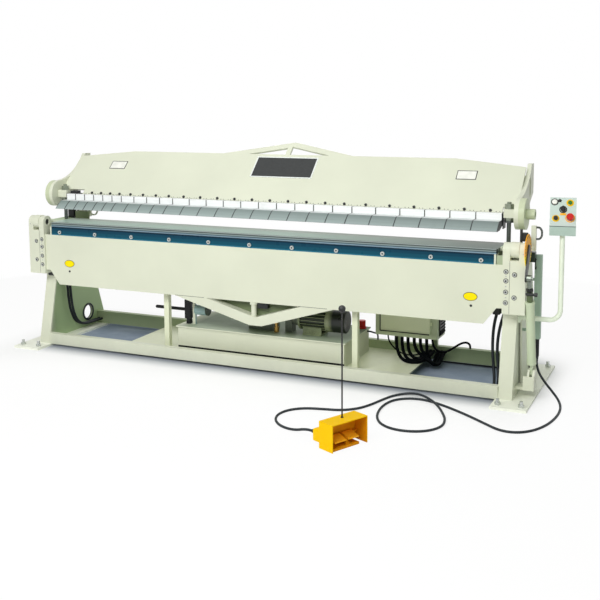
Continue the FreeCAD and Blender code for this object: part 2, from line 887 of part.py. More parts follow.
def cylinder_barrel():
    axis, _ = cylinder_axis()
    barrel = cyl(along_cylinder(barrel_low_along), axis, cylinder_radius,
                 barrel_high_along - barrel_low_along)
    gland = cyl(along_cylinder(barrel_high_along - gland_long), axis, gland_radius, gland_long)
    ring = cyl(along_cylinder(barrel_low_along), axis, gland_radius, 30)
    eye = cyl((cylinder_x - tongue_thick / 2, pivot_y, pivot_z), (1, 0, 0), tongue_radius, tongue_thick)
    ahead = Vector(*axis)
    side = Vector(0, -axis[2], axis[1])
    low = Vector(cylinder_x - tongue_thick / 2, pivot_y, pivot_z)
    corners = [low + side * tongue_radius * 0.7, low - side * tongue_radius * 0.7,
               low - side * tongue_radius * 0.7 + ahead * barrel_low_along,
               low + side * tongue_radius * 0.7 + ahead * barrel_low_along]
    tongue = polygon([(c.x, c.y, c.z) for c in corners], (tongue_thick, 0, 0))
    whole = fuse([barrel, gland, ring, tongue, eye])
    whole = whole.cut(cyl((cylinder_x - tongue_thick, pivot_y, pivot_z), (1, 0, 0),
                          pivot_radius + bore_gap, 2 * tongue_thick))
    bore_start = piston_bottom_along - 10
    return whole.cut(cyl(along_cylinder(bore_start), axis, piston_rod_radius + run_gap,
                         barrel_high_along - bore_start + 1))


def piston_rod():
    axis, reach = cylinder_axis()
    rod = cyl(along_cylinder(piston_bottom_along), axis, piston_rod_radius,
              reach - rod_eye_radius + 4 - piston_bottom_along)
    nut = cyl(along_cylinder(reach - rod_eye_radius - clevis_nut_long + 5), axis, clevis_nut_radius,
              clevis_nut_long)
    eye = cyl((rod_eye_start, *along_cylinder(reach)[1:]), (1, 0, 0), rod_eye_radius,
              2 * (cylinder_x - rod_eye_start))
    head = cyl((2 * cylinder_x - rod_eye_start, *along_cylinder(reach)[1:]), (1, 0, 0), pivot_radius, 5)
    return fuse([rod, nut, eye, head])


# Stands

def stand():
    """Right stand: plated web, bent front flange, head with hinge lug, and foot."""
    slope = (leg_knee_y - leg_toe_y) / (leg_knee_z - foot_z)
    rear_slope = (rear_top_y - rear_toe_y) / (bed_height - foot_z)
    web_face = web_outer - web_thick
    web = prism_x([(leg_toe_y, foot_z), (leg_knee_y, leg_knee_z), (leg_knee_y, leg_top_z),
                   (head_front_y, bed_height), (rear_top_y, bed_height), (rear_toe_y, foot_z)],
                  web_face, web_outer)
    web = web.cut(cyl((web_face, stand_hole_y, stand_hole_z), (1, 0, 0), stand_hole_radius, web_thick))
    front = prism_x([(leg_toe_y, foot_z), (leg_knee_y, leg_knee_z), (leg_knee_y, leg_top_z),
                     (leg_knee_y + flange_thick, leg_top_z), (leg_knee_y + flange_thick, leg_knee_z),
                     (leg_toe_y + flange_thick, foot_z)], flange_inner, web_face)
    foot = box(foot_inner, foot_outer, foot_front, foot_back, 0, foot_z)
    for x in anchor_x:
        for y in anchor_y:
            foot = foot.cut(cyl((x, y, 0), (0, 0, 1), anchor_hole / 2, foot_z))
    lug = fuse([cyl((lug_centre_x - lug_half, 0, bed_height), (1, 0, 0), lug_radius, 2 * lug_half),
                prism_x([(0, bed_height - lug_radius), (leg_knee_y - 5, bed_height - lug_radius),
                         (leg_knee_y - 5, 700), (150, 700), (150, bed_height), (head_front_y, bed_height),
                         (26, bed_height + 36)], lug_centre_x - lug_half, lug_centre_x + lug_half)])
    lug = lug.cut(cyl((lug_centre_x - lug_half, 0, bed_height), (1, 0, 0), pin_radius + bore_gap,
                      2 * lug_half))
    top = box(bed_half, web_face, leg_knee_y + flange_thick, bed_front + bed_deep,
              bed_height - rod_plate_thick, bed_height)
    top = top.cut(cyl((rod_x, rod_y, bed_height - rod_plate_thick), (0, 0, 1), rod_radius + fit_gap,
                      rod_plate_thick))
    shelf = box(bed_half, web_face, leg_knee_y + flange_thick, bed_front + bed_deep,
                clamp_barrel_low - flange_thick, clamp_barrel_low)
    return fuse([web, front, foot, lug, top, shelf])


def cylinder_bracket():
    """Forked bracket on the right stand for the bending cylinder's eye, closed in front."""
    near = cylinder_x - tongue_thick / 2 - cheek_gap - cheek_thick
    far = cylinder_x + tongue_thick / 2 + cheek_gap
    front = pivot_y - cylinder_bracket_half
    back = pivot_y + cylinder_bracket_half
    low = cylinder_bracket_low
    base = box(web_outer, far + cheek_thick, front, back, low, low + cylinder_bracket_plate)
    cover = box(cylinder_bracket_left, far + cheek_thick, front - 8, front, low, cylinder_bracket_cover)
    outline = [(front, low), (back, low), (pivot_y + 20, cheek_high), (pivot_y - 20, cheek_high),
               (front, cylinder_bracket_cover)]
    cheeks = [prism_x(outline, x, x + cheek_thick) for x in (near, far)]
    pin = cyl((near, pivot_y, pivot_z), (1, 0, 0), pivot_radius, far + cheek_thick - near)
    return fuse([base, cover] + cheeks + [pin])


def conduit_post():
    """Upright beside the right hinge that carries the switch's conduit loop."""
    wide = conduit_post_wide
    post = box(post_left, post_left + wide, conduit_post_y, conduit_post_y + wide,
               conduit_post_low, conduit_post_high)
    low = conduit_post_low
    arm = box(web_outer, post_left, conduit_post_y, conduit_post_y + 8, low, low + 16)
    return fuse([post, arm])


def clamp_barrel():
    """Right clamping cylinder, hung below the stand's top plate."""
    high = bed_height - rod_plate_thick
    barrel = cyl((rod_x, rod_y, clamp_barrel_low), (0, 0, 1), clamp_barrel_radius, high - clamp_barrel_low)
    return barrel.cut(cyl((rod_x, rod_y, clamp_barrel_low + clamp_barrel_floor), (0, 0, 1),
                          rod_radius + fit_gap, high - clamp_barrel_low))


def anchor_bolts():
    bolts = []
    for x in anchor_x:
        for y in anchor_y:
            stud = cyl((x, y, foot_z + anchor_nut), (0, 0, 1), anchor_stud / 2,
                       anchor_high - foot_z - anchor_nut)
            nut = hexagon((x, y, foot_z), (0, 0, 1), anchor_flats, anchor_nut)
            shank = ring_prism((x, y, 2), (0, 0, 1), anchor_stud / 2, foot_z - 2, 6)
            bolt = fuse([stud, nut, shank])
            bolts += both_sides(bolt)
    return bolts


# Floor frame

def rail(front, deep, low, high, half):
    """Channel with its web at the front."""
    return fuse([box(-half, half, front, front + rail_thick, low, high),
                 box(-half, half, front, front + deep, low, low + rail_thick),
                 box(-half, half, front, front + deep, high - rail_thick, high)])


def front_rail():
    return rail(front_rail_y, front_rail_deep, foot_z, front_rail_top, flange_inner)


def rear_rail():
    return rail(rear_rail_y, rear_rail_deep, foot_z, rear_rail_top, web_outer - web_thick)


def floor_plate():
    return box(-floor_plate_half, floor_plate_half, front_rail_y + rail_thick, rear_rail_y,
               floor_plate_z, floor_plate_z + floor_plate_thick)


def bed_posts():
    half = post_side / 2
    post = box(post_x - half, post_x + half, post_y - half, post_y + half,
               floor_plate_z + floor_plate_thick, bed_low)
    return both_sides(post)


# Power unit

def tank():
    low = floor_plate_z + floor_plate_thick
    body = box(-tank_half, tank_half, tank_front, tank_back, low, tank_top)
    lid = box(-tank_half - tank_lid_over, tank_half + tank_lid_over, tank_front - tank_lid_over,
              tank_back + tank_lid_over, tank_top, tank_top + tank_lid)
    return fuse([body, lid])


def lid_top():
    return tank_top + tank_lid


def motor_body():
    """Finned motor housing on its feet."""
    core = cyl((motor_start, motor_y, motor_z), (1, 0, 0), motor_core, motor_end - motor_start)
    face = cyl((motor_start, motor_y, motor_z), (1, 0, 0), motor_fin_radius, 12)
    fins = []
    for n in range(motor_fins):
        turn = 360.0 * n / motor_fins
        fin = box(motor_start, motor_end, motor_y - motor_fin_thick / 2, motor_y + motor_fin_thick / 2,
                  motor_z + motor_core - 4, motor_z + motor_fin_radius)
        fin.rotate(Vector(0, motor_y, motor_z), Vector(1, 0, 0), turn)
        fins.append(fin)
    foot = box(motor_start + 30, motor_end - 30, motor_y - motor_foot, motor_y + motor_foot,
               lid_top(), lid_top() + 10)
    legs = []
    for y in (-motor_foot + 8, motor_foot - 16):
        legs.append(box(motor_start + 30, motor_end - 30, motor_y + y, motor_y + y + 8,
                        lid_top(), motor_z - 30))
    terminal = box(motor_start + 50, motor_start + 130, motor_y - 35, motor_y + 35,
                   motor_z + motor_core - 2, motor_z + motor_fin_radius + 26)
    return fuse([core, face, foot, terminal] + legs + fins)


def motor_cowl():
    shell = cyl((motor_end, motor_y, motor_z), (1, 0, 0), cowl_radius, cowl_end - motor_end)
    rim = shell.Edges[0]
    for edge in shell.Edges:
        if edge.CenterOfMass.x > cowl_end - 1 and edge.Length > 3 * cowl_radius:
            rim = edge
    return shell.makeFillet(12, [rim])


def pump_unit():
    """Bell housing, pump and valve block on the tank lid."""
    bell = Part.makeCone(coupling_radius, motor_core, motor_start - coupling_start,
                         Vector(coupling_start, motor_y, motor_z), Vector(1, 0, 0))
    pump = cyl((pump_start, motor_y, motor_z), (1, 0, 0), pump_radius, coupling_start - pump_start)
    block = box(pump_start + 12, pump_start + 60, motor_y - 30, motor_y + 30, lid_top(), motor_z - 20)
    head = box(-120, 60, motor_y - 45, motor_y + 45, lid_top(), lid_top() + 70)
    valves = []
    for x in (-96, -46, 4):
        valves.append(box(x - 18, x + 22, motor_y - 62, motor_y + 62, lid_top() + 70, lid_top() + 112))
    return [fuse([bell, pump, block]), fuse([head] + valves)]


def relief_valve():
    base = cyl((valve_x - 22, motor_y - 60, lid_top()), (0, 0, 1), valve_radius, 34)
    neck = cyl((valve_x - 22, motor_y - 60, lid_top() + 34), (0, 0, 1), valve_radius - 6, 18)
    cap = hexagon((valve_x - 22, motor_y - 60, lid_top() + 52), (0, 0, 1), 2 * valve_radius - 8, 14)
    return fuse([base, neck, cap])


def breather_cap():
    cap = cyl((breather_x, breather_y, lid_top()), (0, 0, 1), breather_radius, breather_high)
    return fuse([cap, cyl((breather_x, breather_y, lid_top()), (0, 0, 1), breather_radius + 6, 8)])


def return_filter():
    return cyl((filter_left, filter_y, filter_z), (1, 0, 0), filter_radius, filter_right - filter_left)


def pipework():
    """Riser, manifold and cross bar at the left end of the tank."""
    riser = cyl((pipe_x + 15, pipe_y, lid_top()), (0, 0, 1), pipe_radius, 150)
    block = box(manifold_left, manifold_right, pipe_y - 22, pipe_y + 22, manifold_low, manifold_high)
    leg = box(manifold_left + 8, manifold_right - 6, pipe_y - 14, pipe_y + 14, lid_top(), manifold_low)
    bar = cyl((manifold_bar_left, pipe_y, filter_z - 4), (1, 0, 0), 11, manifold_left - manifold_bar_left)
    ball = Part.makeSphere(11, Vector(manifold_bar_left, pipe_y, filter_z - 4))
    return [riser, fuse([block, leg, bar, ball])]


# Electrical cabinet

def cabinet():
    shell = box(cabinet_left, cabinet_right, cabinet_front, cabinet_back, cabinet_low, cabinet_top)
    room = box(door_left + 8, door_right - 8, cabinet_front, cabinet_back - cabinet_wall,
               door_low + 8, door_top - 8)
    shell = shell.cut(room)
    back_panel = box(door_left + 30, door_right - 30, cabinet_back - cabinet_wall - 6,
                     cabinet_back - cabinet_wall, door_low + 30, door_top - 30)
    return fuse([shell, back_panel])


def cabinet_mast():
    """Two posts on the rear rail that carry the cabinet."""
    masts = []
    for x in mast_xs:
        post = box(x - mast_side / 2, x + mast_side / 2, rear_rail_y, rear_rail_y + mast_side,
                   rear_rail_top, cabinet_top - 20)
        pads = [box(x - mast_side / 2, x + mast_side / 2, cabinet_back, rear_rail_y, z, z + 40)
                for z in (cabinet_low + 30, cabinet_top - 70)]
        masts.append(fuse([post] + pads))
    return masts


def door_axis():
    """X and Y of the upright axis of the door's knuckles."""
    return (door_right + door_hinge_radius + run_gap,
            cabinet_front - run_gap - door_hinge_radius)


def door_knuckles(low, high):
    """Knuckles of one half of each hinge, between two heights above its foot."""
    x, y = door_axis()
    return [cyl((x, y, foot + low), (0, 0, 1), door_hinge_radius, high - low)
            for foot in (door_low + 40, door_top - 40 - door_hinge_long)]


def cabinet_hinges():
    """The cabinet's own knuckles, each on a small leaf."""
    x, y = door_axis()
    leaves = []
    for knuckle in door_knuckles(0, door_hinge_long / 2):
        z = knuckle.BoundBox.ZMin
        leaf = box(x, x + 16, cabinet_front - 3, cabinet_front, z, z + door_hinge_long / 2)
        leaves.append(fuse([knuckle, leaf]))
    return leaves


def cabinet_door():
    back = cabinet_front - run_gap
    leaf = box(door_left, door_right, back - door_thick, back, door_low, door_top)
    lock = cyl((door_left + 22, back - door_thick, 0.5 * (door_low + door_top)), (0, -1, 0), 9, 5)
    x, y = door_axis()
    knuckles = []
    for knuckle in door_knuckles(door_hinge_long / 2 + run_gap, door_hinge_long):
        z = knuckle.BoundBox.ZMin
        ear = box(door_right - 1, x, y - 2, y + 2, z, z + door_hinge_long / 2 - run_gap)
        knuckles.append(fuse([knuckle, ear]))
    return fuse([leaf, lock] + knuckles)


def cabinet_fittings():
    glands = []
    for x in gland_xs:
        glands.append(fuse([cyl((x, gland_y, cabinet_low - gland_high), (0, 0, 1), gland_r, gland_high),
                            hexagon((x, gland_y, cabinet_low - 6), (0, 0, 1), 24, 6)]))
    vent = box(cabinet_right, cabinet_right + 8, cabinet_front + 35, cabinet_back - 35,
               cabinet_low + 50, cabinet_low + 190)
    return glands + [vent]


def bundled_cable(x, route):
    """Gland cable: straight down, along the floor plate and square into the rear rail."""
    gland = cabinet_low - gland_high
    return ([(x, gland_y, gland), (x, gland_y, gland - cable_drop)] + list(route)
            + [(route[-1][0], rear_rail_y, route[-1][2])])


def rail_cable():
    """Cable from the cabinet's right side over the top of the rear rail."""
    start = (rail_cable_x, gland_y, cabinet_low)
    lead = (rail_cable_x, gland_y, cabinet_low - 40)
    end = (rail_cable_route[-1][0], rail_cable_route[-1][1], rear_rail_top)
    return bent_tube("rail cable", [start, lead] + list(rail_cable_route) + [end], rail_cable_radius, 6)


def thin_cable():
    """Thin cable before the others."""
    start = (thin_cable_x, gland_y, cabinet_low)
    lead = (thin_cable_x, gland_y, cabinet_low - 40)
    end = (thin_cable_route[-1][0], rear_rail_y, thin_cable_route[-1][2])
    return bent_tube("thin cable", [start, lead] + list(thin_cable_route) + [end], thin_cable_radius, 6)


def cabinet_cables():
    cables = []
    for n, (x, route) in enumerate(zip(gland_xs, cable_routes)):
        cables.append(bent_tube("cable " + str(n + 1), bundled_cable(x, route), cable_radius, 6))
    return cables + [thin_cable(), rail_cable()]


def hanging_hose(start, route):
    """Hose from under a clamp shelf down to the end of its route."""
    shelf = clamp_barrel_low - flange_thick
    return [(*start, shelf), (*start, shelf - hose_drop)] + list(route)


def hydraulic_hoses():
    hoses = []
    for shift in (0, hose_pitch):
        start = (-bed_half - left_hose_out + shift, 228)
        route = [(-bed_half - out + shift, y, z) for out, y, z in left_hose_route]
        route.append((route[-1][0], rear_rail_y, route[-1][2]))
        hoses.append(bent_tube("left hose", hanging_hose(start, route), hose_radius, 6))
    front = front_rail_y + rail_thick
    for (start_out, start_y), points in zip(right_hose_starts, right_hose_routes):
        route = [(bed_half + out, y, z) for out, y, z in points]
        route.append((route[-1][0], front, route[-1][2]))
        start = (bed_half + start_out, start_y)
        hoses.append(bent_tube("right hose", hanging_hose(start, route), thin_hose_radius, 6))
    web = web_outer - web_thick
    side = [(web, *side_hose_exit), (web - 56, *side_hose_exit)]
    side += [(bed_half + out, y, z) for out, y, z in side_hose_route]
    side.append((side[-1][0], front, side[-1][2]))
    hoses.append(bent_tube("side hose", side, thin_hose_radius, 6))
    tank = [(tank_half, 488, 188), (tank_half + 25, 488, 188)] + list(tank_hose_route)
    tank.append((tank[-1][0], tank[-1][1], rear_rail_top))
    hoses.append(bent_tube("tank hose", tank, 4.5, 6))
    return hoses


# Right side services

def cable_duct():
    body = box(duct_inner, duct_outer, duct_y, duct_y + duct_deep, duct_low, duct_high)
    arms = [box(web_outer, duct_inner, duct_y + 6, duct_y + duct_deep - 6, z, z + 12)
            for z in (duct_low + 40, duct_high - 150)]
    tail = cyl((0.5 * (duct_inner + duct_outer), duct_y + duct_deep / 2, conduit_low), (0, 0, 1),
               conduit_radius, duct_low - conduit_low)
    return [fuse([body, tail] + arms), conduit_loop()]


def conduit_loop():
    """Looped flexible conduit on the outer side of its post."""
    x = post_left + conduit_post_wide
    y = conduit_post_y + conduit_post_wide / 2
    high = conduit_post_high - 9
    low = high - conduit_loop_high
    reach = conduit_loop_reach
    points = [(x, y, high), (x + 0.6 * reach, y, high), (x + reach, y, high - 0.26 * conduit_loop_high),
              (x + reach, y, low + 0.26 * conduit_loop_high), (x + 0.6 * reach, y, low), (x, y, low)]
    return bent_tube("conduit loop", points, conduit_loop_radius)


def limit_switch():
    body = box(switch_x, switch_x + switch_wide, switch_y, switch_y + switch_deep, switch_low, switch_high)
    arm = box(web_outer, switch_x, switch_y + 8, switch_y + 30, switch_low + 10, switch_low + 18)
    shaft = cyl((switch_x + switch_wide, switch_y + 14, switch_low + 14), (1, 0, 0), 4, 8)
    return fuse([body, arm, shaft])


def limit_lever():
    x = switch_x + switch_wide + run_gap
    y = switch_y + 14
    z = switch_low + 14
    blade = box(x, x + 4, y - 6, y + 6, z - 48, z)
    hub = cyl((x, y, z), (1, 0, 0), 9, 4)
    roller = cyl((x, y, z - 48), (1, 0, 0), 9, 7)
    return fuse([blade, hub, roller]).cut(cyl((x - 1, y, z), (1, 0, 0), 4 + bore_gap, 10))


def rear_stop():
    """Drilled block and hooked catch behind the left end of the throat."""
    block = box(stop_left, stop_right, stop_y, stop_y + stop_deep, bed_height, bed_height + stop_high)
    middle = 0.5 * (stop_left + stop_right)
    block = block.cut(cyl((middle, stop_y, bed_height + 20), (0, 1, 0), 11, stop_deep))
    base = box(-web_outer + web_thick, stop_left, stop_y, stop_y + stop_deep, bed_height, bed_height + 10)
    reach = stop_hook_radius
    ring = cyl((stop_right + reach, stop_y + 20, bed_height + stop_high), (0, 1, 0), reach, 8)
    ring = ring.cut(cyl((stop_right + reach, stop_y + 20, bed_height + stop_high), (0, 1, 0), reach - 9, 8))
    lower = box(stop_right, stop_right + 2 * reach, stop_y + 20, stop_y + 28,
                bed_height + stop_high - reach, bed_height + stop_high)
    return fuse([block, base, ring.common(lower)])


# Pendant

def pendant_place(shape):
    shape.rotate(Vector(arm_x, arm_y, 0), Vector(0, 0, 1), pendant_turn)
    return shape


def pendant_rear():
    return arm_y + pendant_deep_low / 2


def pendant_front():
    return arm_y - pendant_deep_low / 2 - 10


def pendant_face_point(across, up, out=0.0):
    """Point on the sloped control face before the pendant is turned."""
    turn = math.radians(pendant_slope)
    return (arm_x + across, pendant_front() + up * math.cos(turn) - out * math.sin(turn),
            pendant_low + pendant_front_high + up * math.sin(turn) + out * math.cos(turn))


def pendant_normal():
    turn = math.radians(pendant_slope)
    return (0, -math.sin(turn), math.cos(turn))


def pendant_box():
    _, top_y, top_z = pendant_face_point(0, pendant_face_long)
    half = pendant_wide / 2
    body = prism_x([(pendant_front(), pendant_low), (pendant_front(), pendant_low + pendant_front_high),
                    (top_y, top_z), (top_y + 22, top_z), (top_y + 22, pendant_low + 30),
                    (pendant_rear(), pendant_low)], arm_x - half, arm_x + half)
    for across, up, radius, depth in pendant_sockets():
        body = body.cut(cyl(pendant_face_point(across, up, -depth), pendant_normal(), radius, depth + 1))
    return pendant_place(body)


def pendant_sockets():
    """Across, up, radius and depth of the holes for the moving controls."""
    return ((-38, 22, 8 + run_gap, 16), (38, 26, 10 + run_gap, 16), (36, 116, 9 + run_gap, 16),
            (0, 76, 7 + run_gap, 16))


def pendant_control(index, head_radius, head_high, lift):
    across, up, radius, depth = pendant_sockets()[index]
    stem = cyl(pendant_face_point(across, up, -8), pendant_normal(), radius - run_gap, 8 + lift)
    head = cyl(pendant_face_point(across, up, lift), pendant_normal(), head_radius, head_high)
    return pendant_place(fuse([stem, head]))


def selector_knob():
    across, up, radius, depth = pendant_sockets()[3]
    stem = cyl(pendant_face_point(across, up, -8), pendant_normal(), radius - run_gap, 8 + run_gap)
    head = cyl(pendant_face_point(across, up, run_gap), pendant_normal(), 14, 6)
    places = ((-4, -16), (4, -16), (4, 16), (-4, 16))
    corners = [Vector(*pendant_face_point(across + side, up + rise, 6)) for side, rise in places]
    n = Vector(*pendant_normal()) * 12
    grip = polygon([(c.x, c.y, c.z) for c in corners], (n.x, n.y, n.z))
    return pendant_place(fuse([stem, head, grip]))


def pendant_lamps():
    lamps = [cyl(pendant_face_point(-46, 120), pendant_normal(), 8, 6),
             cyl(pendant_face_point(-20, 124), pendant_normal(), 5, 4)]
    return [pendant_place(lamp) for lamp in lamps]


def pendant_arm():
    """Bent tube from the stand's outer face up to the pendant."""
    points = [Vector(web_outer + 8, arm_y, arm_low_z), Vector(arm_x - arm_bend, arm_y, arm_low_z),
              Vector(arm_x, arm_y, arm_low_z + arm_bend), Vector(arm_x, arm_y, pendant_low)]
    centre = Vector(arm_x - arm_bend, arm_y, arm_low_z + arm_bend)
    middle = centre + Vector(arm_bend, 0, -arm_bend).normalize() * arm_bend
    path = Part.Wire([Part.LineSegment(points[0], points[1]).toShape(),
                      Part.Arc(points[1], middle, points[2]).toShape(),
                      Part.LineSegment(points[2], points[3]).toShape()])
    ring = Part.Wire(Part.makeCircle(arm_radius, points[0], Vector(1, 0, 0)))
    tube = path.makePipeShell([ring], True, False)
    flange = cyl((web_outer, arm_y, arm_low_z), (1, 0, 0), arm_radius + 18, 8)
    return fuse([tube, flange])


# Foot pedal

def pedal_place(shape):
    """Turns a shape drawn with its width along X and its mouth toward -Y."""
    shape.rotate(Vector(0, 0, 0), Vector(0, 0, 1), pedal_turn)
    shape.translate(Vector(pedal_x, pedal_y, 0))
    return shape


def pedal_housing():
    """Hood with an open mouth, a short base, a low twin rib, treadle shafts and the cable boss."""
    half = pedal_wide / 2
    deep = pedal_deep / 2
    inside = half - pedal_wall
    outer = box(-half, half, -deep, deep, 0, pedal_high)
    room = box(-inside, inside, -deep, deep - pedal_back, pedal_base, pedal_high - pedal_wall)
    under = box(inside - pedal_base_gap, inside, -deep, deep - pedal_back, 0, pedal_base)
    step = box(-inside, inside, -deep, -deep + pedal_base_step, 0, pedal_base)
    body = outer.cut(fuse([room, under, step]))
    back = deep - pedal_back
    front = -deep + pedal_base_step
    ribs = []
    for x in (-pedal_rib_gap / 2 - pedal_rib, pedal_rib_gap / 2):
        high = Vector(x, back, pedal_base + pedal_rib_high)
        low = Vector(x, front, pedal_base)
        bulge = Vector(x, 0.5 * (back + front) - 8, pedal_base + 0.72 * pedal_rib_high)
        rim = Part.Wire([Part.Arc(low, bulge, high).toShape(),
                         Part.LineSegment(high, Vector(x, back, pedal_base)).toShape(),
                         Part.LineSegment(Vector(x, back, pedal_base), low).toShape()])
        ribs.append(Part.Face(rim).extrude(Vector(pedal_rib, 0, 0)))
    shaft = cyl((-inside, *treadle_axis()), (1, 0, 0), 4, 2 * inside)
    boss = box(-half, -half + 2 * boss_in, deep, deep + boss_long,
               boss_z - boss_radius, boss_z + boss_radius)
    boss = boss.makeFillet(8, [e for e in boss.Edges if abs(e.tangentAt(e.FirstParameter).y) > 0.9])
    nut = ring_prism((-half + boss_in, deep + boss_long, boss_z), (0, 1, 0), boss_radius - 12, boss_nut, 6)
    return pedal_place(fuse([body, shaft] + ribs + [boss, nut]))


def pedal_point(across, back, z):
    turn = math.radians(pedal_turn)
    return (pedal_x + across * math.cos(turn) - back * math.sin(turn),
            pedal_y + across * math.sin(turn) + back * math.cos(turn), z)


def treadle_axis():
    return pedal_deep / 2 - pedal_back - 12, 46.0


def treadle(side):
    """Flat foot treadle that hangs on the cross shaft, its tread toward the mouth."""
    half = pedal_wide / 2
    y, z = treadle_axis()
    inner = pedal_rib_gap / 2 + pedal_rib + 2.5
    outer = half - pedal_wall - pedal_tread_ends[side > 0]
    x0, x1 = sorted((side * inner, side * outer))
    front = -pedal_deep / 2 + pedal_tread_front
    blade = prism_x([(front, z - 9), (front + 2, z - 5), (y - 6, z + 11), (y + 6, z + 9), (y + 8, z),
                     (y, z - 9), (y - 9, z + 2), (front + 3, z - 12)], x0, x1)
    blade = blade.cut(cyl((x0 - 1, y, z), (1, 0, 0), 4 + bore_gap, x1 - x0 + 2))
    return pedal_place(blade)


def pedal_handle():
    rod = cyl((0, 10, pedal_high), (0, 0, 1), handle_radius, handle_top - pedal_high)
    foot = cyl((0, 10, pedal_high), (0, 0, 1), 7, 4)
    ball = Part.makeSphere(handle_ball, Vector(0, 10, handle_top))
    return pedal_place(fuse([rod, foot, ball]))


def pedal_cord():
    end = pedal_point(-pedal_wide / 2 + boss_in, pedal_deep / 2 + boss_long + boss_nut, boss_z)
    lead = pedal_point(-pedal_wide / 2 + boss_in, pedal_deep / 2 + boss_long + boss_nut + 46, boss_z)
    start = (0.5 * (duct_inner + duct_outer), duct_y + duct_deep / 2)
    points = [(*start, conduit_low), (*start, conduit_low - 42)] + list(cord_route) + [lead, end]
    return bent_tube("pedal cord", points, cord_radius, 6)


def build():
    groups, middles = fingers()
    for name, group in zip(finger_names, groups):
        save(name, group)
    save("finger_bolts", finger_bolts(middles))
    save("finger_holder", finger_holder())
    save("beam_panel", beam_panel())
    save("beam_truss", beam_truss())
    save("beam_end_plates", both_sides(fuse([beam_end(), lifting_lug()])))
    save("beam_trunnions", both_sides(trunnion()))
    save("clamp_rods", [r for piece in [lifting_rod()] + rod_nuts() for r in both_sides(piece)])
    save("bed_nose", bed_nose())
    save("bed_beam", bed_beam())
    save("apron_plate", apron_plate())
    save("apron_nose", apron_nose())
    save("apron_bar", apron_bar())
    save("apron_bolts", bar_bolts() + [b for bolt in bracket_bolts() for b in both_sides(bolt)])
    save("apron_truss", apron_truss())
    save("hinge_brackets", both_sides(hinge_bracket()))
    save("angle_dial", angle_dial())
    save("hinge_shafts", [hinge_pin(lever_start() + lever_thick), cylinder_lever(),
                          mirrored(hinge_pin(bracket_outer))])
    save("bend_cylinder_right", cylinder_barrel())
    save("piston_rod_right", piston_rod())
    save("stand_right", fuse([stand(), cylinder_bracket(), conduit_post()]))
    save("stand_left", mirrored(stand()))
    save("clamp_cylinders", both_sides(clamp_barrel()))
    save("anchor_bolts", anchor_bolts())
    save("front_rail", front_rail())
    save("rear_rail", [rear_rail()] + cabinet_mast())
    save("floor_frame", [floor_plate()] + bed_posts())
    save("tank", tank())
    save("motor_body", motor_body())
    save("motor_cowl", motor_cowl())
    save("pump_unit", pump_unit())
    save("relief_valve", relief_valve())
    save("breather_cap", breather_cap())
    save("pipework", pipework() + [return_filter()])
    save("cabinet", fuse([cabinet()] + cabinet_hinges()))
    save("cabinet_door", cabinet_door())
    save("cabinet_fittings", cabinet_fittings())
    save("cabinet_cables", cabinet_cables())
    save("hydraulic_hoses", hydraulic_hoses())
    save("cable_duct", cable_duct())
    save("limit_switches", [limit_switch(), rear_stop()])
    save("limit_lever", limit_lever())
    save("pendant_arm", pendant_arm())
    save("pendant_box", pendant_box())
    save("pendant_lamps", pendant_lamps())
    save("push_button", pendant_control(0, 12, 8, 5))
    save("stop_button", pendant_control(1, 19, 14, 10))
    save("start_button", pendant_control(2, 11, 5, 5))
    save("selector_knob", selector_knob())
    save("pedal_housing", pedal_housing())
    save("treadle_left", treadle(-1))
    save("treadle_right", treadle(1))
    save("pedal_handle", pedal_handle())
    save("pedal_cord", pedal_cord())


os.makedirs("parts", exist_ok=True)
build()
export_all()
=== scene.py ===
"""Looks of the hydraulic box and pan brake, built round its CAD frame."""
from math import cos, pi, radians, sin

import bmesh
import bpy
from mathutils import Matrix, Vector
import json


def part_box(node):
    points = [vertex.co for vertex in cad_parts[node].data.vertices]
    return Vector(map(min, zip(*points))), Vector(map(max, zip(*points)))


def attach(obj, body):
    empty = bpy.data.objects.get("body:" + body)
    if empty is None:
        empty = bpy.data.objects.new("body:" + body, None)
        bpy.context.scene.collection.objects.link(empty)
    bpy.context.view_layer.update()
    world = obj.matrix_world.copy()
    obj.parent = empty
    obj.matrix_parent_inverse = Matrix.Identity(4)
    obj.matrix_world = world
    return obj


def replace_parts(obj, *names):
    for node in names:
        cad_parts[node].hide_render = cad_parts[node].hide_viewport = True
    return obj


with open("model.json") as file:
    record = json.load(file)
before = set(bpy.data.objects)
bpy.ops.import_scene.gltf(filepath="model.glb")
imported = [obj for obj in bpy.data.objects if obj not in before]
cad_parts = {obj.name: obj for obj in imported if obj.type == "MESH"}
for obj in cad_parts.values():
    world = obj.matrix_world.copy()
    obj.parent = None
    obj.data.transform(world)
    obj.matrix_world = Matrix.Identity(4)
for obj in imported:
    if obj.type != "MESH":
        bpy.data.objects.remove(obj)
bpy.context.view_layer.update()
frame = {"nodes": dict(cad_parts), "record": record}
nodes = frame["nodes"]
scene = bpy.context.scene

# Lengths are millimetres in the machine's own frame: X from the middle, Y from the bending line and
# Z from the floor. Places in the tones of the skins are metres in that frame. The bed nose is centred
# in X and starts bed_front behind the bending line.
bed_front = 2.0
nose_low, nose_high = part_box("bed_nose")
shift_x = 500 * (nose_low[0] + nose_high[0])
shift_y = 1000 * nose_low[1] - bed_front
along_x, along_y, along_z = range(3)


def spot(x, y, z):
    """A machine point in metres in the row frame."""
    return Vector(((x + shift_x) / 1000, (y + shift_y) / 1000, z / 1000))


def extent(node):
    """Lowest and highest corner of a CAD node in machine millimetres."""
    low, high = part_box(node)
    place = Vector((shift_x, shift_y, 0))
    return 1000 * Vector(low) - place, 1000 * Vector(high) - place


def srgb(red, green, blue):
    """An 8-bit colour as linear light, by the sRGB curve."""
    shares = [v / 255 for v in (red, green, blue)]
    return (*(v / 12.92 if v <= 0.04045 else ((v + 0.055) / 1.055) ** 2.4 for v in shares), 1.0)


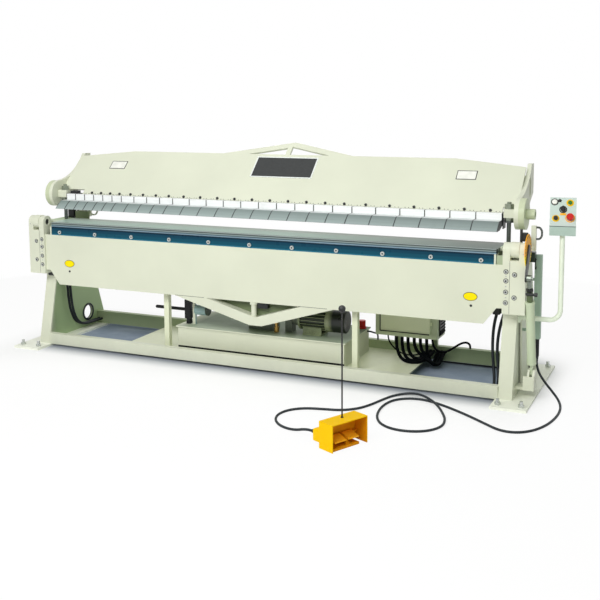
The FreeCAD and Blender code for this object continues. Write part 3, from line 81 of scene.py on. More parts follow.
# Camera at the photograph's place, in pixels of its 600 by 600 frame
image_side = 600
focal_px = 944.6
centre_px = (302.4, 211.6)
camera_at = (2656, -5174, 1707)
yaw, pitch, roll = (radians(v) for v in (-24.03, -6.95, -0.31))
sensor_width = 36.0
clip_near, clip_far = 0.1, 60.0

cam_data = bpy.data.cameras.new("camera")
cam = bpy.data.objects.new("camera", cam_data)
scene.collection.objects.link(cam)
scene.camera = cam
cam_data.sensor_width = sensor_width
cam_data.sensor_fit = "HORIZONTAL"
cam_data.lens = focal_px / image_side * sensor_width
cam_data.shift_x = -(centre_px[0] - image_side / 2) / image_side
cam_data.shift_y = -(image_side / 2 - centre_px[1]) / image_side
cam_data.clip_start = clip_near
cam_data.clip_end = clip_far
forward = Vector((sin(yaw) * cos(pitch), cos(yaw) * cos(pitch), sin(pitch)))
level = Vector((cos(yaw), -sin(yaw), 0))
upright = level.cross(forward)
right = level * cos(roll) + upright * sin(roll)
up = upright * cos(roll) - level * sin(roll)
cam_place = Matrix((right, up, -forward)).transposed().to_4x4()
cam_place.translation = spot(*camera_at)
cam.matrix_world = cam_place


# Shader building
noise_span = (0.3, 0.7)


class Nodes:
    """A shader tree whose nodes are added by short calls."""

    def __init__(self, tree):
        self.tree = tree

    def feed(self, socket, value):
        """Links a socket, or sets it where the value is plain."""
        if isinstance(value, bpy.types.NodeSocket):
            self.tree.links.new(value, socket)
        else:
            socket.default_value = value

    def add(self, kind, *inputs, **settings):
        """A node with its settings, then its inputs as (socket, value)."""
        node = self.tree.nodes.new(kind)
        for key, value in settings.items():
            setattr(node, key, value)
        for socket, value in inputs:
            self.feed(node.inputs[socket], value)
        return node

    def math(self, operation, first, second=0.0):
        return self.add("ShaderNodeMath", (0, first), (1, second), operation=operation).outputs[0]

    def plainly_seen(self):
        """One for camera, glossy and transmission rays, zero for the rest."""
        path = self.add("ShaderNodeLightPath")
        seen = path.outputs["Is Camera Ray"]
        for ray in ("Is Glossy Ray", "Is Transmission Ray"):
            seen = self.math("MAXIMUM", seen, path.outputs[ray])
        return seen


class Skin(Nodes):
    """A material with its tones, in the object's own coordinates."""

    def __init__(self, name):
        self.data = bpy.data.materials.new(name)
        self.data.use_nodes = True
        super().__init__(self.data.node_tree)
        self.shader = self.tree.nodes["Principled BSDF"]
        self.place = self.add("ShaderNodeTexCoord").outputs["Object"]

    def stretch(self, scale):
        """Object coordinates multiplied along each axis."""
        return self.add("ShaderNodeMapping", ("Vector", self.place), ("Scale", scale)).outputs[0]

    def noise(self, scale, detail=3.0, rough=0.5, vector=None):
        return self.add("ShaderNodeTexNoise", ("Vector", vector or self.place), ("Scale", scale),
                        ("Detail", detail), ("Roughness", rough)).outputs[0]

    def ramp(self, value, low, high, out_low=0.0, out_high=1.0):
        """Linear step from one output value to another."""
        return self.add("ShaderNodeMapRange", ("Value", value), ("From Min", low), ("From Max", high),
                        ("To Min", out_low), ("To Max", out_high), clamp=True).outputs["Result"]

    def mix(self, factor, first, second):
        """Colour between two colours; 6, 7 and 2 are the colour sockets of the node."""
        return self.add("ShaderNodeMix", (0, factor), (6, first), (7, second), data_type="RGBA").outputs[2]

    def times(self, first, second):
        return self.math("MULTIPLY", first, second)

    def scale(self, tone, factor):
        """Tone made darker or lighter by a factor."""
        tone = tone[:3] if isinstance(tone, tuple) else tone
        return self.add("ShaderNodeVectorMath", (0, tone), ("Scale", factor), operation="SCALE").outputs[0]

    def vary(self, tone, value, span, factors):
        """Tone scaled from the first factor to the second over a span of a value."""
        return self.scale(tone, self.ramp(value, *span, *factors))

    def around(self, value, less, more, middle):
        """From a little less than a middle value to a little more, by a noise."""
        return self.ramp(value, *noise_span, middle - less, middle + more)

    def layers(self, value, soft, stops):
        """First tone, then each next one from its place on, with soft steps."""
        tone = stops[0]
        for start, colour in stops[1:]:
            tone = self.mix(self.ramp(value, start - soft, start + soft), tone, colour)
        return tone

    def axis(self, index):
        """One machine coordinate, in metres."""
        split = self.add("ShaderNodeSeparateXYZ", (0, self.place))
        shift = (shift_x, shift_y, 0)[index] / 1000
        return self.math("SUBTRACT", split.outputs[index], shift)

    def band(self, value, low, high, soft):
        """One between two limits, with soft ends."""
        rise = self.ramp(value, low - soft, low)
        fall = self.ramp(value, high, high + soft, 1.0, 0.0)
        return self.times(rise, fall)

    def patch(self, x_band, y_band):
        """One in a rectangle of the floor plan; a band is its low end, high end and softness."""
        return self.times(self.band(self.axis(along_x), *x_band), self.band(self.axis(along_y), *y_band))

    def bump(self, height, strength, distance):
        bump = self.add("ShaderNodeBump", ("Strength", strength), ("Distance", distance), ("Height", height))
        self.feed(self.shader.inputs["Normal"], bump.outputs[0])

    def finish(self, tone, rough, metal=0.0, specular=0.5):
        inputs = {"Base Color": tone, "Roughness": rough, "Metallic": metal, "Specular IOR Level": specular}
        for socket, value in inputs.items():
            self.feed(self.shader.inputs[socket], value)
        return self.data


# Finishes. A noise is given by its scale, detail and roughness, a change of tone by the span of the
# noise over which it happens and the factors at its ends, and bumps by strength and height in metres.

def base_tone(skin, paint):
    """Plain colour, or the tone that a function of the skin gives."""
    return paint(skin) if callable(paint) else paint


def enamel(name, paint, rough=0.36, specular=0.25):
    """Sprayed paint: slow tone drift, fine specks, rubbed streaks, dust low down and orange peel."""
    skin = Skin(name)
    drift = skin.noise(2.2, 4.0)
    specks = skin.noise(140.0, 2.0, 0.7)
    streaks = skin.noise(26.0, 6.0, 0.75, skin.stretch((1.0, 1.0, 4.0)))
    tone = skin.vary(base_tone(skin, paint), drift, noise_span, (0.955, 1.03))
    tone = skin.vary(tone, specks, (0.70, 0.78), (1.0, 0.86))
    tone = skin.vary(tone, streaks, (0.66, 0.74), (1.0, 0.94))
    low_down = skin.ramp(skin.axis(along_z), 0.02, 0.22, 0.08, 0.0)
    dust = skin.times(low_down, skin.ramp(skin.noise(9.0, 5.0, 0.65), 0.42, 0.72))
    tone = skin.scale(tone, skin.math("SUBTRACT", 1.0, dust))
    roughness = skin.around(skin.noise(17.0, 4.0), 0.05, 0.08, rough)
    peel = skin.noise(260.0, 2.0, 0.55)
    skin.bump(peel, 0.10, 0.0006)
    return skin.finish(tone, roughness, 0.0, specular)


def brushed(name, paint, rough=0.34, metal=0.4, contrast=0.12):
    """Ground steel: long fine scratches along X and faint stains."""
    skin = Skin(name)
    grain_way = skin.stretch((1.0, 90.0, 90.0))
    lines = skin.noise(5.0, 6.0, 0.75, grain_way)
    fine = skin.noise(22.0, 4.0, 0.8, grain_way)
    stains = skin.noise(7.0, 5.0, 0.6)
    tone = skin.vary(base_tone(skin, paint), lines, (0.35, 0.65), (1 - contrast, 1 + contrast))
    tone = skin.vary(tone, fine, (0.40, 0.62), (1.0, 1 - contrast / 2))
    tone = skin.vary(tone, stains, (0.60, 0.74), (1.0, 0.93))
    roughness = skin.around(lines, 0.06, 0.10, rough)
    skin.bump(fine, 0.12, 0.0004)
    return skin.finish(tone, roughness, metal)


def grained(mottling, gloss, bumps, rough, metal, specular):
    """A finish with one noise for its tone, one for its roughness round a middle and one for bumps."""
    def finish(name, paint, rough=rough, metal=metal, specular=specular):
        skin = Skin(name)
        mottle, span, factors = mottling
        tone = skin.vary(base_tone(skin, paint), skin.noise(*mottle), span, factors)
        marks, less, more = gloss
        roughness = skin.around(skin.noise(*marks), less, more, rough)
        grain, strength, height = bumps
        skin.bump(skin.noise(*grain), strength, height)
        return skin.finish(tone, roughness, metal, specular)

    return finish


# Zinc, chrome or oxide: crystal mottling and fine marks
plated = grained(((120.0, 4.0, 0.6), (0.35, 0.65), (0.86, 1.10)), ((60.0, 3.0), 0.05, 0.12),
                 ((300.0, 2.0), 0.06, 0.0003), 0.28, 0.9, 0.5)
# Cable and hose sheath: scuffed dust and a fine matt grain
rubber = grained(((30.0, 5.0, 0.7), (0.48, 0.75), (1.0, 1.7)), ((80.0, 3.0), 0.08, 0.12),
                 ((420.0, 3.0, 0.6), 0.14, 0.0004), 0.5, 0.0, 0.3)
# Moulded plastic: a light spark texture
moulded = grained(((24.0, 3.0), noise_span, (0.90, 1.08)), ((90.0, 3.0), 0.05, 0.10),
                  ((500.0, 2.0), 0.08, 0.0003), 0.34, 0.0, 0.3)


def casting(name, paint, rough=0.5):
    """Painted casting: coarse sand texture, dark in its pits, with oily patches."""
    skin = Skin(name)
    sand = skin.noise(150.0, 5.0, 0.7)
    oil = skin.ramp(skin.noise(14.0, 5.0, 0.6), 0.55, 0.72)
    tone = skin.vary(base_tone(skin, paint), sand, (0.35, 0.6), (0.78, 1.08))
    tone = skin.vary(tone, oil, (0.0, 1.0), (1.0, 0.75))
    roughness = skin.ramp(oil, 0.0, 1.0, rough, rough - 0.2)
    skin.bump(sand, 0.35, 0.0012)
    return skin.finish(tone, roughness)


# Colours, as they read on the machine
white = (1.0, 1.0, 1.0, 1.0)
ivory = srgb(220, 223, 203)
black = srgb(22, 24, 26)
cord_black = srgb(30, 36, 40)
bundle_black = srgb(6, 9, 11)
# Dark slits: painted shade in the gaps at the nose, between the fingers and along the bed's front edge
slit_shade = srgb(30, 36, 38)
yellow = srgb(252, 200, 0)
pendant_pale = srgb(190, 210, 200)
duct_green = srgb(170, 193, 177)
# Fin edges paler than the olive motor, as a painted highlight
fin_highlight = srgb(142, 152, 116)
zinc = srgb(196, 200, 196)


def layered(index, soft, *stops):
    """Tone along one axis: the first tone, then each next one from its place on, with soft steps."""
    return lambda skin: skin.layers(skin.axis(index), soft, stops)


# Tones by height. Nose: a pale ledge low down as a painted highlight, a dark line as the painted shadow of
# the step, a grey lip, then a dark slit as painted shade in the gap. Bar: a bright lower edge as a painted
# highlight, shading to a navy top as painted shade. Pendant: dark joint between the front and the sloped
# lid, which is painted paler as if lit from above. Dial: amber upper scale and yellow lower scale. Rods:
# dark and oiled below paler lugs and nuts.
nose_tone = layered(
    along_z, 0.0012, srgb(150, 178, 192), (0.838, srgb(60, 84, 98)), (0.844, srgb(138, 154, 152)),
    (0.851, slit_shade), (0.856, srgb(146, 160, 156)))
bar_tone = layered(
    along_z, 0.004, srgb(40, 116, 142), (0.783, srgb(18, 76, 96)), (0.806, srgb(14, 63, 84)),
    (0.824, srgb(9, 38, 56)))
pendant_tone = layered(
    along_z, 0.001, srgb(178, 198, 188), (0.993, srgb(60, 70, 70)), (0.9965, srgb(206, 218, 212)),
    (1.019, srgb(200, 216, 208)))
dial_tone = layered(along_z, 0.002, srgb(255, 222, 40), (0.840, srgb(255, 178, 40)))
rod_tone = layered(along_z, 0.002, srgb(90, 96, 92), (1.000, srgb(136, 144, 128)))

# Tones by length or depth. Cowl: a pale rim as a painted highlight and a dark fan cover as painted shade.
# Pipes: black manifold, ivory riser and a pale blue filter bowl with a dark end. Switches: ivory stop with
# a black part at the left, dark switch at the right. Rail: darker and greener than the posts in front of
# it, as painted shade under the apron.
cowl_tone = layered(along_x, 0.015, srgb(150, 158, 122), (0.460, srgb(20, 27, 18)))
pipe_tone = layered(
    along_x, 0.001, black, (-0.529, ivory), (-0.498, srgb(150, 176, 176)), (-0.412, srgb(60, 70, 60)))
switch_tone = layered(
    along_x, 0.001, black, (-1.556, ivory), (-1.50, srgb(70, 76, 60)), (-1.49, ivory),
    (0.0, srgb(52, 62, 56)))
rail_tone = layered(along_y, 0.01, ivory, (0.57, srgb(170, 184, 146)))

# Fingers: how many each node holds, the gap between them and half the slit drawn at a joint
finger_counts = {"fingers_76": 6, "fingers_102": 4, "fingers_127": 10, "fingers_152": 6}
finger_gap = 0.6
slit_half = 2.6
slit_soft = 0.5
# Tip, facets and shade along X: painted reflection on the ground fingers, lighter at the tip, darker over
# the facets above it, and painted shade darkening them most toward the right
tip_tone = srgb(176, 192, 190)
facet_stops = ((0.012, srgb(158, 175, 172)), (0.034, srgb(138, 155, 152)))
white_band_rise = 0.052
finger_shade = ((-1.5, 1.5), (0.79, 0.60))


def finger_pitch(node):
    """Left end of a row of fingers, and the step from one to the next."""
    low, high = extent(node)
    return low.x, (high.x - low.x + finger_gap) / finger_counts[node]


def finger_tone(node):
    """White clamping band, a painted reflection, over two darker nose facets in painted reflection tones,
    with a dark slit of painted shade at each joint.
    """
    left, pitch = finger_pitch(node)
    tip = extent(node)[0].z / 1000

    def tone(skin):
        height = skin.axis(along_z)
        facets = [(tip + rise, colour) for rise, colour in facet_stops]
        steel = skin.layers(height, 0.008, [tip_tone] + facets)
        steel = skin.vary(steel, skin.axis(along_x), *finger_shade)
        steel = skin.layers(height, 0.001, (steel, (tip + white_band_rise, srgb(250, 252, 252))))
        along = skin.math("SUBTRACT", skin.axis(along_x), (left - finger_gap / 2) / 1000)
        turn = skin.math("FRACT", skin.math("ADD", skin.math("DIVIDE", along, pitch / 1000), 0.5))
        away = skin.times(skin.math("ABSOLUTE", skin.math("SUBTRACT", turn, 0.5)), pitch)
        return skin.layers(away, slit_soft, (slit_shade, (slit_half + slit_soft, steel)))

    return tone


# Bed tones by depth and the darkening toward its right end: painted reflection on the ground bed
bed_stops = (srgb(172, 196, 182), (0.06, srgb(186, 210, 196)), (0.16, srgb(212, 226, 214)))
bed_shade = ((0.2, 1.5), (1.06, 0.32))
bed_joint_y = 0.008


def bed_tone(skin):
    """Ground bed with painted reflection, lighter toward the back and darker toward its right end, and a
    dark joint of painted shade along its front edge.
    """
    depth = skin.axis(along_y)
    tone = skin.vary(skin.layers(depth, 0.03, bed_stops), skin.axis(along_x), *bed_shade)
    return skin.layers(depth, 0.002, (slit_shade, (bed_joint_y, tone)))


motor_axis_y, motor_axis_z = 0.230, 0.303
fin_root = 0.0685


def motor_tone(skin):
    """Pale fin edges as painted highlights over dark valleys of painted shade round the motor's axis."""
    across = skin.math("SUBTRACT", skin.axis(along_y), motor_axis_y)
    above = skin.math("SUBTRACT", skin.axis(along_z), motor_axis_z)
    reach = skin.math("SQRT", skin.math("ADD", skin.times(across, across), skin.times(above, above)))
    return skin.layers(reach, 0.0025, (srgb(44, 54, 34), (fin_root, fin_highlight)))


duct_foot, loop_foot = 0.317, 0.845
rib_turn = 700.0


def duct_tone(skin):
    """Black conduit below, painted duct, and a ribbed dark loop on top with painted highlights on its ribs.
    """
    height = skin.axis(along_z)
    ribs = skin.math("SINE", skin.times(height, rib_turn))
    loop = skin.layers(ribs, 0.3, (srgb(34, 38, 40), (0.0, srgb(120, 126, 122))))
    tone = skin.layers(height, 0.001, (black, (duct_foot, duct_green)))
    return skin.layers(height, 0.005, (tone, (loop_foot, loop)))


lid_z = (0.2075, 0.2078)
lid_mirror = (-0.50, 0.62, 0.10)
lid_depth = (0.08, 0.20)


def tank_tone(skin):
    """Tank paint; over its middle the lid carries a painted reflection of the dark machine, darker toward
    the back.
    """
    lid = skin.ramp(skin.axis(along_z), *lid_z)
    under = skin.times(skin.band(skin.axis(along_x), *lid_mirror), lid)
    depth = skin.ramp(skin.axis(along_y), *lid_depth)
    return skin.mix(under, ivory, skin.mix(depth, srgb(178, 190, 168), srgb(124, 138, 116)))


web_edge = (1.626, 1.645)
leg_back = (0.06, 0.12)
foot_top = 0.01625


def stand_tone(skin):
    """Stand paint; the webs behind the legs darker and greener as painted shade, the foot plates brighter as
    painted light.
    """
    inside = skin.ramp(skin.math("ABSOLUTE", skin.axis(along_x)), *web_edge, 1.0, 0.0)
    behind = skin.times(inside, skin.ramp(skin.axis(along_y), *leg_back))
    tone = skin.mix(behind, ivory, srgb(178, 204, 152))
    return skin.layers(skin.axis(along_z), 0.00075, (srgb(250, 252, 238), (foot_top, tone)))


shade_middle = 0.375
truss_back = 0.031


def truss_tone(skin):
    """Truss paint; the plate closing it behind is deep in shade, darkest under the apron."""
    shade = skin.layers(skin.axis(along_z), 0.055, (srgb(142, 156, 120), (shade_middle, srgb(86, 98, 68))))
    return skin.layers(skin.axis(along_y), 0.001, (ivory, (truss_back, shade)))


block_inner, block_foot = 1.535, 0.777


def apron_tone(skin):
    """Apron paint, with the greener filler blocks at the bar's ends."""
    out = skin.layers(skin.math("ABSOLUTE", skin.axis(along_x)), 0.0005,
                      (ivory, (block_inner, srgb(168, 180, 150))))
    return skin.layers(skin.axis(along_z), 0.0005, (ivory, (block_foot, out)))


pedal_x, pedal_y = 1010, -1001
pedal_turn = radians(63.9)
pedal_width = (-0.1125, 0.1125, 0.0005)
pedal_depth = (-0.0485, 0.0445, 0.0005)
pedal_roof = (0.1335, 0.134)


def pedal_tone(skin):
    """Yellow cover, its inner faces deeper orange as painted shade."""
    x = skin.math("SUBTRACT", skin.axis(along_x), pedal_x / 1000)
    y = skin.math("SUBTRACT", skin.axis(along_y), pedal_y / 1000)
    cosine, sine = cos(pedal_turn), sin(pedal_turn)
    across = skin.math("ADD", skin.times(x, cosine), skin.times(y, sine))
    back = skin.math("SUBTRACT", skin.times(y, cosine), skin.times(x, sine))
    inside = skin.times(skin.band(across, *pedal_width), skin.band(back, *pedal_depth))
    inside = skin.times(inside, skin.ramp(skin.axis(along_z), *pedal_roof, 1.0, 0.0))
    return skin.mix(inside, yellow, srgb(226, 150, 10))


def finished(rows):
    """Materials by name; a row is the name, its finish, its paint and what the finish takes beyond."""
    return {name: finish(name + "_skin", *recipe) for name, finish, *recipe in rows}


# By material slot of the record
skins = finished((
    ("ivory_paint", enamel, ivory),
    ("olive_paint", casting, srgb(88, 104, 66), 0.45),
    ("blue_paint", enamel, bar_tone, 0.30, 0.12),
    ("ground_steel", brushed, nose_tone),
    ("bed_steel", brushed, bed_tone, 0.42, 0.15, 0.16),
    ("chrome_rod", plated, srgb(150, 154, 152), 0.16, 1.0),
    ("black_steel", plated, srgb(44, 46, 46), 0.42, 0.55),
    ("zinc_steel", plated, zinc, 0.26),
    ("brass", plated, srgb(186, 150, 84), 0.3),
    ("red_plastic", moulded, srgb(200, 26, 20)),
    ("green_plastic", moulded, srgb(40, 112, 40)),
    ("black_plastic", moulded, srgb(22, 23, 24), 0.38),
    ("white_plastic", moulded, srgb(240, 240, 232)),
    ("black_rubber", rubber, cord_black),
    ("yellow_paint", enamel, yellow, 0.4, 0.06),
    ("orange_paint", enamel, srgb(255, 182, 36), 0.38, 0.1),
    ("pale_blue_paint", enamel, pendant_pale, 0.3),
    ("grey_plastic", enamel, duct_tone, 0.5),
    ("cast_grey", casting, srgb(104, 112, 98)),
))

# By CAD node, where a node differs from the rest of its slot
node_skins = finished((
    # Cabinet darker and greener than the machine's ivory as painted shade, its door lighter as painted light
    ("cabinet", enamel, srgb(204, 214, 180), 0.42),
    ("cabinet_door", enamel, srgb(240, 246, 210), 0.42),
    ("rear_rail", enamel, rail_tone, 0.42),
    ("stand_left", enamel, stand_tone),
    ("stand_right", enamel, stand_tone),
    ("motor_body", casting, motor_tone, 0.45),
    ("motor_cowl", casting, cowl_tone, 0.4),
    ("pendant_box", enamel, pendant_tone, 0.3),
    ("pendant_arm", enamel, srgb(244, 252, 234), 0.3),
    ("pedal_handle", plated, srgb(12, 14, 16), 0.35, 0.0),
    ("pedal_housing", enamel, pedal_tone, 0.4, 0.06),
    ("apron_truss", enamel, truss_tone),
    # Darker and greener than the ivory they are painted in, as painted shade
    ("bend_cylinder_right", enamel, srgb(202, 214, 184)),
    ("beam_trunnions", enamel, srgb(200, 208, 176)),
    ("pipework", enamel, pipe_tone, 0.3),
    ("limit_switches", enamel, switch_tone, 0.35),
    ("tank", enamel, tank_tone, 0.42, 0.08),
    ("angle_dial", enamel, dial_tone, 0.4, 0.1),
    ("clamp_rods", plated, rod_tone, 0.30, 0.6),
    ("hinge_shafts", plated, srgb(34, 37, 35), 0.4, 0.3),
    # Brighter than the ivory, as painted light
    ("floor_frame", enamel, srgb(232, 236, 208)),
    ("apron_plate", enamel, apron_tone),
    ("piston_rod_right", plated, srgb(128, 136, 126), 0.24),
))
node_skins["anchor_bolts"] = skins["zinc_steel"]
for finger_node in finger_counts:
    node_skins[finger_node] = brushed("steel_" + finger_node, finger_tone(finger_node), 0.36, 0.15, 0.08)
bundle_skin = rubber("cabinet_sheath", bundle_black, 0.7, specular=0.04)
wire_skin = rubber("brown_sheath", srgb(72, 40, 34))
throat_skin = enamel("throat_enamel", srgb(150, 160, 126))
oval_skin = enamel("oval_enamel", srgb(255, 232, 16), 0.4, 0.08)

for part in frame["record"]["subparts"]:
    part_mesh = nodes[part["node"]].data
    part_mesh.materials.clear()
    part_mesh.materials.append(node_skins.get(part["node"], skins[part["material_slot"]]))

bevel_segments = 2
bevel_turn = radians(50)
plate_edge, cast_edge, finger_edge = 1.5, 3.0, 0.8


def soften(names, width):
    """Rounds the sharp edges of CAD nodes, as on plate work and castings."""
    for name in names:
        bevel = nodes[name].modifiers.new("soft_edges", "BEVEL")
        bevel.width = width / 1000
        bevel.segments = bevel_segments
        bevel.limit_method = "ANGLE"
        bevel.angle_limit = bevel_turn


soften(("stand_left", "stand_right", "front_rail", "apron_plate", "hinge_brackets", "tank", "cabinet",
        "cabinet_door", "pendant_box", "beam_end_plates", "bed_nose", "apron_bar", "pedal_housing"),
       plate_edge)
soften(("pump_unit", "beam_trunnions", "motor_cowl"), cast_edge)
soften(finger_counts, finger_edge)


# Piece building
round_sides, hexagon = 28, 6
rim_of_thick, rim_of_radius = 0.3, 0.15


def tie(name, data, body, slot, skin):
    """A piece from a mesh or curve, dressed and tied to its body."""
    piece = bpy.data.objects.new(name, data)
    scene.collection.objects.link(piece)
    data.materials.append(skin or skins[slot])
    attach(piece, body)
    return piece


def piece_from(name, mesh_builder, body="frame", slot="black_steel", skin=None, smooth=None):
    """A mesh piece made by a bmesh function."""
    work = bmesh.new()
    mesh_builder(work)
    bmesh.ops.recalc_face_normals(work, faces=work.faces)
    mesh = bpy.data.meshes.new(name)
    work.to_mesh(mesh)
    work.free()
    if smooth:
        mesh.shade_smooth()
        mesh.set_sharp_from_angle(angle=radians(smooth))
    return tie(name, mesh, body, slot, skin)


def circle_turns(sides):
    return [2 * pi * n / sides for n in range(sides)]


def rings_round(work, centre, axis, profile, sides):
    """Vertex rings round an axis: profile is (reach, along) in millimetres from the centre."""
    axis = Vector(axis).normalized()
    side = axis.cross(Vector((0, 0, 1)))
    if side.length < 0.1:
        side = Vector((1, 0, 0))
    side.normalize()
    other = axis.cross(side)
    rings = []
    for reach, along in profile:
        middle = Vector(centre) + axis * along
        ways = [side * cos(turn) + other * sin(turn) for turn in circle_turns(sides)]
        rings.append([work.verts.new(spot(*(middle + way * reach))) for way in ways])
    return rings


def join_rings(work, low, high):
    count = len(low)
    for n in range(count):
        work.faces.new((low[n], low[(n + 1) % count], high[(n + 1) % count], high[n]))


def turned(work, centre, axis, profile, sides):
    """Closed surface of revolution."""
    rings = rings_round(work, centre, axis, profile, sides)
    for low, high in zip(rings, rings[1:]):
        join_rings(work, low, high)
    work.faces.new(rings[0])
    work.faces.new(rings[-1])


def annulus(work, centre, axis, inner, outer, thick, sides=round_sides):
    """Flat ring with a bore."""
    profile = ((inner, 0), (inner, thick), (outer, thick), (outer, 0))
    rings = rings_round(work, centre, axis, profile, sides)
    for low, high in zip(rings, rings[1:] + rings[:1]):
        join_rings(work, low, high)


def disc(work, centre, axis, radius, thick, sides=round_sides):
    """Round plate with a softened rim."""
    rim = min(rim_of_thick * thick, rim_of_radius * radius)
    turned(work, centre, axis, ((radius, 0), (radius, thick - rim), (radius - rim, thick)), sides)


def slab(work, corners, thick, rim=0.0):
    """Flat plate from a planar outline, raised along its normal, with a sloped rim."""
    corners = [Vector(c) for c in corners]
    normal = (corners[1] - corners[0]).cross(corners[2] - corners[1]).normalized()
    middle = sum(corners, Vector()) / len(corners)
    low = [work.verts.new(spot(*c)) for c in corners]
    high = []
    for c in corners:
        inward = (middle - c).normalized() * rim
        high.append(work.verts.new(spot(*(c + inward + normal * thick))))
    join_rings(work, low, high)
    work.faces.new(low)
    work.faces.new(high)


def block(work, low, high, chamfer):
    """Box with its edges cut by a small chamfer."""
    made = bmesh.ops.create_cube(work, size=1.0)["verts"]
    low = spot(*low)
    high = spot(*high)
    for vert in made:
        vert.co = Vector([low[i] if vert.co[i] < 0 else high[i] for i in range(3)])
    edges = list({edge for vert in made for edge in vert.link_edges})
    bmesh.ops.bevel(work, geom=edges, offset=chamfer / 1000, segments=2, affect="EDGES", profile=0.5)


def blocks_from(name, boxes, body="frame", slot="black_steel", skin=None):
    """A piece of plain blocks, each given by its low corner, high corner and chamfer."""
    return piece_from(name, lambda work: [block(work, *box) for box in boxes], body, slot, skin)


def curve_piece(name, routes, slot, skin=None):
    """Round curves on the frame: routes are (points, radius), one smooth open spline each."""
    data = bpy.data.curves.new(name, "CURVE")
    data.dimensions = "3D"
    data.bevel_depth = 0.001
    data.bevel_resolution = 4
    data.resolution_u = 6
    data.use_fill_caps = True
    for points, radius in routes:
        line = data.splines.new("NURBS")
        line.points.add(len(points) - 1)
        for knot, point in zip(line.points, points):
            knot.co = (*spot(*point), 1.0)
            knot.radius = radius
        line.order_u = 3
        line.use_endpoint_u = True
    return tie(name, data, "frame", slot, skin)


# Pedal cord: heights of its middle line on the floor and at its crossing, and its boss on the pedal
lie_z = 7.6
cord_top = 25.5
cord_radius = 7.0
boss_across, boss_z = -83, 56
boss_end = 105
boss_lead = 46


def pedal_point(across, back, z):
    """Point in the pedal's own frame: width, depth from its middle, height."""
    return (pedal_x + across * cos(pedal_turn) - back * sin(pedal_turn),
            pedal_y + across * sin(pedal_turn) + back * cos(pedal_turn), z)


def on_floor(*places):
    return [(x, y, lie_z) for x, y in places]


cord_route = [
    (1723.5, 223, 215), (1723.5, 223, 173), (1740, 214, 118), (1778, 196, 72), (1828, 158, 34),
    (1874, 84, 14),
    *on_floor((1902, -10), (1912, -120), (1904, -236), (1880, -352), (1832, -456), (1760, -518),
        (1672, -516), (1578, -440), (1474, -358), (1372, -286), (1270, -226), (1176, -188), (1088, -200),
        (1020, -262), (998, -366), (1006, -478), (1034, -582), (1088, -668), (1170, -714), (1268, -710),
        (1350, -660), (1392, -570), (1376, -462), (1334, -366)),
    (1290, -292, 15), (1236, -234, cord_top), (1142, -152, cord_top), (1062, -138, 15),
    *on_floor((994, -188), (960, -290), (932, -392), (888, -484), (812, -544), (712, -562), (616, -586),
        (548, -646), (524, -734), (550, -824), (612, -892)),
    (684, -930, 12), (738, -955, 24), (784, -979, 42),
    pedal_point(boss_across, boss_end + boss_lead, boss_z), pedal_point(boss_across, boss_end, boss_z)]

# Strain reliefs: ribs and grooves, the latter as shares of a rib's step
relief_long = 34
relief_ribs = 5
rib_end, groove_start, groove_end = 0.55, 0.6, 0.95
groove_deep = 1.4


def relief(name, start, toward, wide, narrow):
    """Tapered ribbed sleeve round a cord where it leaves a housing."""
    step = relief_long / relief_ribs
    profile = []
    for n in range(relief_ribs):
        reach = wide + (narrow - wide) * n / relief_ribs
        profile += [(reach, step * n), (reach, step * (n + rib_end))]
        profile += [(reach - groove_deep, step * (n + part)) for part in (groove_start, groove_end)]
    return piece_from(
        name, lambda work: turned(work, start, toward, profile, 20), slot="black_rubber", smooth=40)


pedal_lead = curve_piece("pedal_lead", [(cord_route, cord_radius)], "black_rubber")
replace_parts(pedal_lead, "pedal_cord")
boss_way = Vector(cord_route[-2]) - Vector(cord_route[-1])
reliefs = [relief("conduit_relief", cord_route[0], (0, 0, -1), 12.5, 9.0),
           relief("boss_relief", cord_route[-1], boss_way, 12.0, 8.8)]
spot(*cord_route[0])

# Held cables: each gland's place and the cables' routes on from there
gland_xs = (808, 846, 885, 926, 966, 1007)
gland_y = 430
gland_low = 184
cable_drop = 50
cable_radius = 10.5
thin_cable_radius = 4.5
rail_cable_radius = 7.0
cable_routes = (
    ((842, 377, 84), (886, 339, 64), (943, 325, 60), (991, 355, 61), (1003, 416, 62), (1007, 476, 64),
     (1007, 544, 70)),
    ((869, 396, 94), (901, 366, 68), (948, 356, 61), (976, 397, 61), (985, 447, 62), (987, 498, 65),
     (987, 554, 70)),
    ((903, 405, 100), (934, 391, 72), (959, 418, 61), (962, 463, 62), (964, 509, 65), (964, 559, 70)),
    ((975, 388, 102), (1024, 368, 81), (1066, 386, 48), (1082, 438, 31), (1083, 492, 44), (1081, 550, 72)),
    ((998, 408, 100), (1032, 400, 66), (1056, 421, 31), (1061, 465, 27), (1060, 510, 43), (1059, 557, 72)),
    ((1018, 427, 88), (1032, 438, 44), (1036, 470, 22), (1037, 513, 37), (1037, 557, 72)))
thin_cable_route = [
    (752, 430, 200), (752, 430, 160), (786, 444, 110), (816, 456, 84), (849, 473, 65), (884, 495, 57),
    (915, 523, 56), (941, 562, 60), (941, 600, 60)]
rail_cable_route = [
    (1044, 430, 200), (1044, 430, 160), (1068, 452, 116), (1093, 480, 103), (1118, 512, 102),
    (1140, 545, 112), (1163, 574, 128), (1189, 599, 142), (1214, 613, 146), (1232, 620, 136),
    (1238, 622, 121), (1238, 622, 105)]
rear_rail_y = 600
front_rail_back = -37

